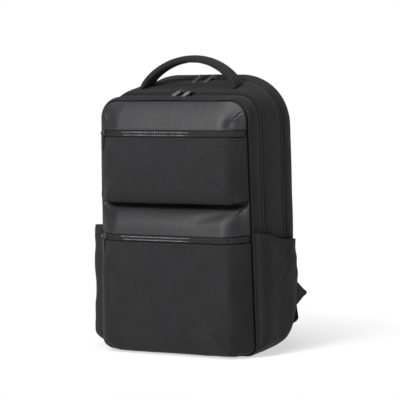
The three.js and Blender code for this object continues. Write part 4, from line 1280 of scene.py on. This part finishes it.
# slackness of its sleeve, and how much more of it the feet have
HANDLE_SLACK = 0.4
HANDLE_FOOT_SLACK = 1.2
HANDLE_FOOT_FADE = 40
HANDLE_SLACK_SIZE = 13
HANDLE_SLACK_SEED = 2.0
HANDLE_FOOT_RAISE = 0.5
HANDLE_STITCH_ANGLE = math.radians(52)
HANDLE_STITCH_START = 0.035
# a point well inside the arch of the handle
HANDLE_HOLLOW = Vector((0, 0, 440))


def top_z(x, depth):
    """Height of the top of the bag over a point."""
    top, _, corner, _, half = body_frame(depth, 0)
    beyond = max(0.0, abs(x) - (half(top - corner) - corner))
    return top - corner + math.sqrt(max(0.0, corner ** 2 - beyond ** 2))


def round_section(angle, width, thickness, squareness):
    """A point of a rounded flat section: a low squareness gives sharper corners."""
    c, s = math.cos(angle), math.sin(angle)
    across = math.copysign(abs(c) ** squareness, c) * width / 2
    through = math.copysign(abs(s) ** squareness, s) * thickness / 2
    return across, through


LINE_STEP = 0.002


def line_frame(centre, across_way, t, step=LINE_STEP):
    """A point of a line at t, with the ways across it and through it."""
    along = (centre(min(1, t + step)) - centre(max(0, t - step))).normalized()
    across = across_way(t)
    across = (across - along * across.dot(along)).normalized()
    return centre(t), across, along.cross(across)


def sweep(centre, across_way, size, steps, squareness, around=32, move=None):
    """A closed skin along a line. size gives its section, and move may shift a finished point."""
    angles = spread(0, 2 * math.pi, around)
    frames = {t: line_frame(centre, across_way, t) for t in spread(0, 1, steps)}

    def point(angle, t):
        middle, side, through = frames[t]
        width, thickness = size(t)
        a, b = round_section(angle, width, thickness, squareness)
        made = middle + side * a + through * b
        return move(made, t) if move else made

    bm = cloth_patch(point, angles, spread(0, 1, steps), centre(0.5) * MM, closed=True)
    bmesh.ops.holes_fill(bm, edges=[e for e in bm.edges if e.is_boundary], sides=0)
    bmesh.ops.recalc_face_normals(bm, faces=bm.faces)
    return bm


def handle_line(t):
    """A point of the handle's middle line, from its left foot to its right one."""
    angle = math.pi * (1 - t)
    foot = top_z(HANDLE_SPAN / 2, HANDLE_DEPTH)
    rise = HANDLE_RISE * abs(math.sin(angle)) ** HANDLE_FULLNESS
    lean = HANDLE_LEAN * math.sin(angle) ** 2
    return Vector((HANDLE_SPAN / 2 * math.cos(angle) + lean, HANDLE_DEPTH - BASE_CENTRE, foot + rise))


def handle_size(t):
    """Width and thickness of the handle."""
    pinch = 1 - HANDLE_PINCH * math.exp(-min(t, 1 - t) * HANDLE_PINCH_FADE)
    width = mix(HANDLE_WIDTH, HANDLE_FOOT_WIDTH, abs(2 * t - 1) ** 2)
    return width, HANDLE_THICKNESS * pinch


def handle_sleeve():
    """The padded handle, slack at its feet where it is sewn to the middle band."""
    def move(made, t):
        foot = math.exp(-min(t, 1 - t) * HANDLE_FOOT_FADE)
        uneven = crumple(made, HANDLE_SLACK_SIZE, HANDLE_SLACK_SEED)
        slack = (HANDLE_SLACK + HANDLE_FOOT_SLACK * foot) * uneven
        settled = top_z(made.x, made.y + BASE_CENTRE) + HANDLE_FOOT_RAISE
        lowered = settled if t in (0.0, 1.0) else max(made.z + slack, settled)
        return Vector((made.x, made.y + slack, lowered))

    bm = sweep(
        handle_line, lambda t: Vector((0, 1, 0)), handle_size, 90, HANDLE_SQUARENESS, 40, move,
    )
    finish_piece("handle_sleeve", bm, CANVAS, "canvas", ["handle"])


def handle_stitches(label, across):
    """A row of stitches along one edge of the handle's upper face."""
    points, outs = [], []
    for t in spread(HANDLE_STITCH_START, 1 - HANDLE_STITCH_START, 150):
        before = handle_line(t - 2 * LINE_STEP)
        after = handle_line(t + 2 * LINE_STEP)
        along = (after - before).normalized()
        out = Vector((0, 1, 0)).cross(along)
        out = out if out.dot(handle_line(t) - HANDLE_HOLLOW) > 0 else -out
        a, b = round_section(HANDLE_STITCH_ANGLE, *handle_size(t), HANDLE_SQUARENESS)
        points.append(handle_line(t) + Vector((0, across * a, 0)) + out * b)
        outs.append(out)
    stitch_row(f"handle_{label}_stitches", points, outs, "canvas")


handle_sleeve()
handle_stitches("front", -1)
handle_stitches("rear", 1)


def centripetal(points, t):
    """A point on the smooth line through points, with even tension."""
    count = len(points) - 1
    i = min(int(t * count), count - 1)
    share = t * count - i
    p1, p2 = points[i], points[i + 1]
    p0 = points[i - 1] if i > 0 else p1 * 2 - p2
    p3 = points[i + 2] if i + 2 <= count else p2 * 2 - p1
    d0, d1, d2 = (math.sqrt((b - a).length) or 1.0 for a, b in ((p0, p1), (p1, p2), (p2, p3)))
    start = ((p1 - p0) / d0 - (p2 - p0) / (d0 + d1) + (p2 - p1) / d1) * d1
    end = ((p2 - p1) / d1 - (p3 - p1) / (d1 + d2) + (p3 - p2) / d2) * d1
    s2, s3 = share * share, share ** 3
    return (p1 * (2 * s3 - 3 * s2 + 1) + start * (s3 - 2 * s2 + share)
            + p2 * (3 * s2 - 2 * s3) + end * (s3 - s2))


STRAP_WIDTH = 62
STRAP_THICKNESS = 8
STRAP_ROOT = Vector((52, 0, 437))
STRAP_END = Vector((98, 0, 158))
STRAP_BOW = 44
LOCK_WIDTH = 36
LOCK_LENGTH = 26
LOCK_THICKNESS = 5
LOCK_BAR = 5
WEB_WIDTH = 25
WEB_THICKNESS = 1.6
WING_HEIGHT = 92
WING_REACH = 36
WING_SWING = 18
WING_ROOT_X = 124
WING_FOOT = 40
WING_THICKNESS = 3
WING_SEAM = 14
WING_TIP = 4
SEAM_ACROSS = 0.38
SEAM_UP = 0.36
TAIL_LENGTH = 126
TAIL_SWING = 33
GAP = 0.3
# Route of a strap: shares of the way across, down, and of its reach behind the back
STRAP_ROUTE = [
    (0, 0, 0),
    (0, 0, 0.2),
    (0.04, 0.035, 0.55),
    (0.12, 0.15, 0.84),
    (0.35, 0.4, 1),
    (0.68, 0.7, 0.9),
    (1, 1, 0.68),
]
# Share of a strap's length, its width from the lock's to its own, share of its thickness
STRAP_WIDTHS, STRAP_PADDING = table_curves([
    (0, 1, 0.6),
    (0.08, 1, 1),
    (0.75, 1, 1),
    (0.9, 0.65, 1),
    (1, 0, 0.6),
])
STRAP_SQUARENESS = 0.45
# The mesh lining: its width, the raise of its ribs and how many radians of ribs a strap has
LINING_HALF_WIDTH = 0.44
LINING_STAND_OFF = 0.5
LINING_THICKNESS = 0.6
RIB_HEIGHT = 0.5
RIB_RATE = 52
# The binding: where it starts and ends, its section, and the stitches beside it
BINDING_START = 0.03
BINDING_END = 0.985
BINDING_SECTION = (6.5, 2.4)
BINDING_STITCH_INSET = 2.6
BINDING_STITCH_RAISE = 0.42
# Route of the webbing's tail: shares of its fall and of the strap's end reach
TAIL_ROUTE = [(0.6, 1), (0.85, 0.8), (1, 0.63)]
# where the webbing bends below the lock, as a share of the way from the wing, and how far
# below the bar it runs straight, in radii of its turn
WEB_BEND = 0.7
WEB_RUN = 2.5
WEB_SQUARENESS = 0.22
# where along the webbing its rounded end starts
WEB_ROUND_START = 0.965
END_REACH = STRAP_ROUTE[-1][2] * STRAP_BOW


def strap_points(side):
    points = []
    for across, down, reach in STRAP_ROUTE:
        x = side * mix(STRAP_ROOT.x, STRAP_END.x, across)
        depth = BODY_DEPTH + GAP + reach * STRAP_BOW
        z = mix(STRAP_ROOT.z, STRAP_END.z, down)
        points.append(Vector((x, depth - BASE_CENTRE, z)))
    return points


def lock_frame(side):
    """The lower end of a strap: its origin, and the ways down, across and out."""
    points = strap_points(side)
    down = (centripetal(points, 1) - centripetal(points, 0.9999)).normalized()
    across = Vector((side, 0, 0))
    across = (across - down * across.dot(down)).normalized()
    return centripetal(points, 1) + down * GAP, down, across, across.cross(down)


def strap_size(t):
    """Width and thickness of a shoulder strap."""
    return mix(LOCK_WIDTH, STRAP_WIDTH, STRAP_WIDTHS(t)), STRAP_THICKNESS * STRAP_PADDING(t)


def strap_frame(side, t):
    """A point of a strap's middle, with the way across it and the way out of its front."""
    points = strap_points(side)
    middle, across, out = line_frame(
        lambda place: centripetal(points, place), lambda place: Vector((side, 0, 0)), t,
    )
    return middle, across, out if out.y > 0 else -out


def strap_cloth(name, side):
    """The padded body of a strap, of canvas."""
    points = strap_points(side)
    bm = sweep(
        lambda t: centripetal(points, t), lambda t: Vector((side, 0, 0)), strap_size, 110,
        STRAP_SQUARENESS, 36,
    )
    node = f"shoulder_strap_{name}"
    piece = finish_piece(f"shoulder_strap_cloth_{name}", bm, CANVAS, "canvas", [node])


def strap_lining(name, side):
    """The ribbed mesh on the face of a strap that lies on the shoulder."""
    def point(u, t):
        middle, across, out = strap_frame(side, t)
        width, thickness = strap_size(t)
        crown = thickness / 2 * (1 - 0.55 * abs(u) ** 6)
        ribs = RIB_HEIGHT * abs(math.sin(t * RIB_RATE)) * (1 - u * u)
        raised = out * (crown + LINING_STAND_OFF + ribs)
        return middle + across * (u * width * LINING_HALF_WIDTH) - raised

    inside = strap_frame(side, 0.5)[0] * MM
    bm = cloth_patch(point, spread(-1, 1, 16), spread(0.05, 0.97, 150), inside)
    lining = f"shoulder_strap_lining_{name}"
    finish_piece(lining, bm, MESH, "padded_mesh", wall=LINING_THICKNESS)


def strap_binding(name, side, label, edge):
    """The bound edge of a strap and the stitches beside it."""
    def place(t):
        return mix(BINDING_START, BINDING_END, t)

    def edge_line(t):
        middle, across, _ = strap_frame(side, place(t))
        return middle + across * (edge * (strap_size(place(t))[0] / 2 + 0.2))

    bm = sweep(edge_line, lambda t: Vector((0, 1, 0)), lambda t: BINDING_SECTION, 90, 0.7, 10)
    finish_piece(f"shoulder_strap_binding_{label}_{name}", bm, WEBBING, "webbing")
    raise_by = strap_size(0.5)[1] * BINDING_STITCH_RAISE
    points, outs = [], []
    for t in spread(0.01, 0.99, 120):
        _, across, out = strap_frame(side, place(t))
        points.append(edge_line(t) - across * edge * BINDING_STITCH_INSET + out * raise_by)
        outs.append(out)
    stitch_row(f"shoulder_strap_stitches_{label}_{name}", points, outs, "canvas")


def shoulder_strap(name, side):
    """A padded strap: canvas outside, spacer mesh towards the back, and bound edges."""
    strap_cloth(name, side)
    strap_lining(name, side)
    strap_binding(name, side, "inner", -1)
    strap_binding(name, side, "outer", 1)


def wing_frame(side):
    reach = math.hypot(WING_REACH, WING_SWING)
    out = Vector((side * WING_REACH, WING_SWING, 0)).normalized()
    normal = out.cross(Vector((0, 0, 1)))
    root = Vector((side * WING_ROOT_X, BODY_DEPTH + GAP + WING_THICKNESS - BASE_CENTRE, WING_FOOT))
    return reach, out, normal, root


# A wing narrows a little at its tip, and its stitches run this far inside its edges
WING_NARROWING = 0.04
WING_NARROWING_START = 0.85
WING_STITCH_INSET = 3.2
WING_STITCH_PITCH = 3.0


def strap_wing(name, side):
    """The cloth corner at the foot of the back that holds the end of the webbing."""
    reach, out, normal, root = wing_frame(side)

    def flat(u, v):
        inner = min(1.0, u)
        tip = ease((inner - WING_NARROWING_START) / (1 - WING_NARROWING_START))
        low = WING_HEIGHT / 2 * inner * (1 - WING_NARROWING * tip)
        height = mix(low, WING_HEIGHT - low, v)
        return root + out * (reach - WING_TIP * 0.5) * inner + Vector((0, 0, height))

    back = normal * math.copysign(1, normal.y)
    inside = (root - back * 200) * MM
    shares = spread(0, 1, 30)
    face = back * WING_THICKNESS / 2
    bm = cloth_patch(lambda u, v: flat(u, v) + face, shares, shares, inside)
    node = f"strap_wing_{name}"
    # the wing's cloth is lighter than the canvas: painted light
    finish_piece(f"strap_wing_cloth_{name}", bm, LIT_WING_CLOTH, "canvas", [node], WING_THICKNESS)
    for label, v, inset in (("lower", 0.0, WING_STITCH_INSET), ("upper", 1.0, -WING_STITCH_INSET)):
        for face_label, way in (("back", 1), ("front", -1)):
            raised = Vector((0, 0, inset)) + back * (way * (WING_THICKNESS / 2 + 0.1))
            points = [flat(u, v) + raised for u in spread(0.08, 0.9, 30)]
            stitches = f"strap_wing_{label}_{face_label}_stitches_{name}"
            stitch_row(stitches, points, [back * way] * len(points), "canvas", WING_STITCH_PITCH)


def webbing_route(side):
    """Points of the webbing: from the wing up through the lock, over its bar and down as a tail."""
    origin, down, _, lock_out = lock_frame(side)
    reach, out, normal, root = wing_frame(side)
    back = normal * math.copysign(1, normal.y)
    seat_height = WING_THICKNESS / 2 + WEB_THICKNESS / 2 + 4 * GAP
    start = root + out * reach * SEAM_ACROSS + back * seat_height
    start.z += WING_HEIGHT * SEAM_UP
    bar = origin + down * (LOCK_LENGTH - LOCK_BAR / 2)
    backwards = lock_out * math.copysign(1, lock_out.y)
    radius = math.hypot(LOCK_BAR / 2, LOCK_THICKNESS / 2) + WEB_THICKNESS / 2 + GAP

    def turn(a, b):
        return bar + down * a + backwards * b

    run = WEB_RUN * radius
    route = [start, start + Vector((0, 0, WING_SEAM / 2)), start + Vector((0, 0, WING_SEAM))]
    route.append(start.lerp(turn(radius, -radius), WEB_BEND) + back * WING_TIP / 2)
    route.append(turn(run, -radius))
    for angle in spread(-math.pi / 2, math.pi / 2, 4):
        route.append(turn(-radius * math.cos(angle), radius * math.sin(angle)))
    route.append(turn(run, radius))
    for fall, share in TAIL_ROUTE:
        depth = BODY_DEPTH + share * END_REACH
        x = side * (STRAP_END.x + TAIL_SWING * fall)
        route.append(Vector((x, depth - BASE_CENTRE, STRAP_END.z - TAIL_LENGTH * fall)))
    return route


def strap_webbing(name, side):
    """The webbing, flat on the wing, turning to lie flat in the lock, with a rounded end."""
    route = webbing_route(side)
    on_wing = wing_frame(side)[1]
    in_lock = lock_frame(side)[2]
    stretch = 1 / (len(route) - 1)

    def facing(t):
        return on_wing.lerp(in_lock, clamp((t - 3 * stretch) / stretch))

    def size(t):
        end = clamp((t - WEB_ROUND_START) / (1 - WEB_ROUND_START))
        return WEB_WIDTH * math.sqrt(max(0.04, 1 - end ** 2)), WEB_THICKNESS

    bm = sweep(lambda t: centripetal(route, t), facing, size, 160, WEB_SQUARENESS, 20)
    finish_piece(f"strap_webbing_cloth_{name}", bm, WEBBING, "webbing", [f"strap_webbing_{name}"])


WELD_DISTANCE = 0.02
ROUND_SEGMENTS = 3
SHARP_ANGLE = math.radians(35)
LOCK_ROUNDING = 0.9
SLIDER_ROUNDING = 0.35
PULL_ROUNDING = 0.4


def round_edges(name, radius, material):
    """Welds a CAD node's triangles and rounds its sharp edges, without changing its own mesh."""
    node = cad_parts[name]
    weld = node.modifiers.new("weld", "WELD")
    weld.merge_threshold = WELD_DISTANCE * MM
    bevel = node.modifiers.new("round", "BEVEL")
    bevel.width = radius * MM
    bevel.segments = ROUND_SEGMENTS
    bevel.limit_method = "ANGLE"
    bevel.angle_limit = SHARP_ANGLE
    node.data.materials.clear()
    node.data.materials.append(material)


for strap_name, strap_side in (("left", -1), ("right", 1)):
    shoulder_strap(strap_name, strap_side)
    strap_wing(strap_name, strap_side)
    strap_webbing(strap_name, strap_side)
    round_edges(f"ladder_lock_{strap_name}", LOCK_ROUNDING, ACETAL)

# the front and rear pulls are lighter than the pocket pulls: painted glints and highlights
PULL_MATERIALS = {"front": GLINT_RUBBER, "rear": LIT_RUBBER, "upper": RUBBER, "lower": RUBBER}
SLIDERS = [
    "front_zip_left", "front_zip_right", "rear_zip_left", "rear_zip_right", "upper_pocket",
    "lower_pocket",
]
for zip_name in SLIDERS:
    round_edges(f"{zip_name}_slider", SLIDER_ROUNDING, ZINC)
    round_edges(f"{zip_name}_pull", PULL_ROUNDING, PULL_MATERIALS[zip_name.split("_")[0]])


# Back pad: heights of its sewn channels, which bend down towards the sides
PAD_CHANNELS = (120, 190, 262, 334)
PAD_CHANNEL_BEND = 0.0016
PAD_CHANNEL_DEPTH = 3.5
PAD_CHANNEL_WIDTH = 4.5
PAD_SEWN_WIDTH = 3.2
PAD_EDGE = 3
PAD_FACE = 5
PAD_GRAIN = 4
PAD_PRESSURE = 3.0
PAD_CAP = 5
SWELL_FRAMES = 20
SWELL_QUALITY = 5
SWELL_MASS = 0.2


def lay_cloth(mesh):
    """Lays the weave flat over a pad, seen from behind."""
    cloth = mesh.uv_layers.new(name="cloth")
    for loop in mesh.loops:
        place = mesh.vertices[loop.vertex_index].co
        cloth.data[loop.index].uv = (place.x, place.z)


def modified_mesh(piece):
    """A new mesh of a piece as its modifiers show it."""
    graph = bpy.context.evaluated_depsgraph_get()
    return bpy.data.meshes.new_from_object(piece.evaluated_get(graph))


def swell(piece, pinned, pressure, cap):
    """Blows a padded piece up a little as cloth, and keeps every point within cap millimetres."""
    before = [v.co.copy() for v in piece.data.vertices]
    group = piece.vertex_groups.new(name="sewn")
    group.add([v.index for v in piece.data.vertices if pinned(v.co / MM)], 1.0, "REPLACE")
    cloth = piece.modifiers.new("swelling", "CLOTH")
    cloth.settings.use_pressure = True
    cloth.settings.uniform_pressure_force = pressure
    cloth.settings.effector_weights.gravity = 0
    cloth.settings.vertex_group_mass = "sewn"
    cloth.settings.quality = SWELL_QUALITY
    cloth.settings.mass = SWELL_MASS
    cloth.point_cache.frame_start = 1
    cloth.point_cache.frame_end = SWELL_FRAMES
    scene = bpy.context.scene
    for number in range(1, SWELL_FRAMES + 1):
        scene.frame_set(number)
    shaped = modified_mesh(piece)
    piece.modifiers.clear()
    scene.frame_set(1)
    for vert, old in zip(shaped.vertices, before):
        moved = vert.co - old
        if moved.length > cap * MM:
            vert.co = old + moved.normalized() * cap * MM
    piece.data = shaped


def pad_line_distance(place):
    """Distance of a point on the pad from the nearest sewn channel."""
    nearest = abs(place.x)
    for z in PAD_CHANNELS:
        nearest = min(nearest, abs(place.z - z - PAD_CHANNEL_BEND * place.x ** 2))
    return nearest


def back_pad():
    """The back pad, swollen between its sewn channels."""
    bm = bmesh.new()
    bm.from_mesh(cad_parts["back_pad"].data)
    bmesh.ops.remove_doubles(bm, verts=bm.verts, dist=WELD_DISTANCE * MM)
    piece = finish_piece("back_pad_mesh", bm, MESH, "padded_mesh", ["back_pad"])
    remesh = piece.modifiers.new("remesh", "REMESH")
    remesh.mode = "VOXEL"
    remesh.voxel_size = PAD_GRAIN * MM
    piece.data = modified_mesh(piece)
    piece.modifiers.clear()
    wall = BODY_DEPTH - BASE_CENTRE

    def sewn(place):
        return place.y < wall + PAD_EDGE or pad_line_distance(place) < PAD_SEWN_WIDTH

    swell(piece, sewn, PAD_PRESSURE, PAD_CAP)
    for vert in piece.data.vertices:
        place = vert.co / MM
        if place.y > wall + PAD_FACE:
            channel = math.exp(-((pad_line_distance(place) / PAD_CHANNEL_WIDTH) ** 2))
            vert.co.y -= PAD_CHANNEL_DEPTH * MM * channel
    lay_cloth(piece.data)
    piece.data.polygons.foreach_set("use_smooth", [True] * len(piece.data.polygons))
    smooth = piece.modifiers.new("smooth", "SUBSURF")
    smooth.levels = 1
    smooth.render_levels = 1


back_pad()


# Stage, light and camera

# The floor is paper near the bag and plain white light far from it. These are metres.
FLOOR_SIZE = 30
FLOOR_DROP = 0.0006
SHADOW_START = 0.18
SHADOW_END = 0.45
PAPER_GLOW = 0.6


def stage():
    """The pale floor, with a soft shadow round the bag."""
    bm = bmesh.new()
    bmesh.ops.create_grid(bm, x_segments=1, y_segments=1, size=FLOOR_SIZE)
    bmesh.ops.translate(bm, vec=(0, 0, -FLOOR_DROP), verts=bm.verts)
    mesh = mesh_of(bm, "floor")
    material, tree = new_material("floor_paper")
    place = add(tree, "TexCoord").outputs["Object"]
    distance = add(tree, "VectorMath", {0: place}, operation="LENGTH").outputs["Value"]
    away = add(tree, "MapRange", {
        "Value": distance, "From Min": SHADOW_START, "From Max": SHADOW_END,
    }).outputs["Result"]
    paper = add(tree, "BsdfDiffuse", {"Color": linear("a8a8a8")}).outputs["BSDF"]
    white = linear("ffffff")
    glow = add(tree, "Emission", {"Color": white, "Strength": PAPER_GLOW}).outputs["Emission"]
    near = add(tree, "AddShader", {0: paper, 1: glow}).outputs["Shader"]
    far = add(tree, "Emission", {"Color": white, "Strength": 1.0}).outputs["Emission"]
    surface = add(tree, "MixShader", {0: away, 1: near, 2: far})
    add(tree, "OutputMaterial", {"Surface": surface.outputs["Shader"]})
    mesh.materials.append(material)
    floor = bpy.data.objects.new("floor", mesh)
    bpy.context.scene.collection.objects.link(floor)


LIT_POINT = Vector((0, 0, 0.25))


def soft_light(name, place, size, power):
    """A round soft light that looks at the middle of the bag."""
    lamp = bpy.data.lights.new(name, "AREA")
    lamp.shape = "DISK"
    lamp.size = size
    lamp.energy = power
    made = bpy.data.objects.new(name, lamp)
    made.location = place
    made.rotation_euler = (LIT_POINT - Vector(place)).to_track_quat("-Z", "Y").to_euler()
    bpy.context.scene.collection.objects.link(made)


# The background is white to the camera and lights the bag only faintly
SKY_LIGHT = 0.14
SKY_SEEN = 1.0


def lights():
    """A white background, a large key light at the left, and weaker top and rim lights."""
    world = bpy.data.worlds.new("studio")
    world.use_nodes = True
    tree = world.node_tree
    tree.nodes.clear()
    seen = add(tree, "LightPath").outputs["Is Camera Ray"]
    strength = add(tree, "MapRange", {
        "Value": seen, "To Min": SKY_LIGHT, "To Max": SKY_SEEN,
    }).outputs["Result"]
    sky = add(tree, "Background", {"Color": linear("ffffff"), "Strength": strength})
    add(tree, "OutputWorld", {"Surface": sky.outputs["Background"]})
    bpy.context.scene.world = world
    bpy.context.scene.view_settings.view_transform = "Standard"
    soft_light("key", (-0.5, -2.3, 1.9), size=1.0, power=96)
    soft_light("top", (0.1, -0.3, 2.3), size=1.6, power=21)
    soft_light("rim", (1.6, 1.8, 1.3), size=1.0, power=6)


CAMERA_AZIMUTH = math.radians(29)
CAMERA_ELEVATION = math.radians(5.6)
CAMERA_ROLL = math.radians(-1.38)
CAMERA_DISTANCE = 3.315
CAMERA_AIM = Vector((0, 0.005, 0.23))
CAMERA_SENSOR = 36
CAMERA_LENS = 177.4
CAMERA_SHIFT = (0.018, 0.029)
CAMERA_CLIP_END = 50


def camera():
    """A camera at the photograph's angle, turned a little about its own axis."""
    level = math.cos(CAMERA_ELEVATION)
    back = Vector((
        math.sin(CAMERA_AZIMUTH) * level, -math.cos(CAMERA_AZIMUTH) * level, math.sin(CAMERA_ELEVATION),
    ))
    lens = bpy.data.cameras.new("camera")
    lens.sensor_width = CAMERA_SENSOR
    lens.lens = CAMERA_LENS
    lens.shift_x, lens.shift_y = CAMERA_SHIFT
    lens.clip_end = CAMERA_CLIP_END
    made = bpy.data.objects.new("camera", lens)
    made.location = CAMERA_AIM + back * CAMERA_DISTANCE
    turned = back.to_track_quat("Z", "Y").to_matrix() @ Matrix.Rotation(CAMERA_ROLL, 3, "Z")
    made.rotation_euler = turned.to_euler()
    bpy.context.scene.collection.objects.link(made)
    bpy.context.scene.camera = made


stage()
lights()
camera()
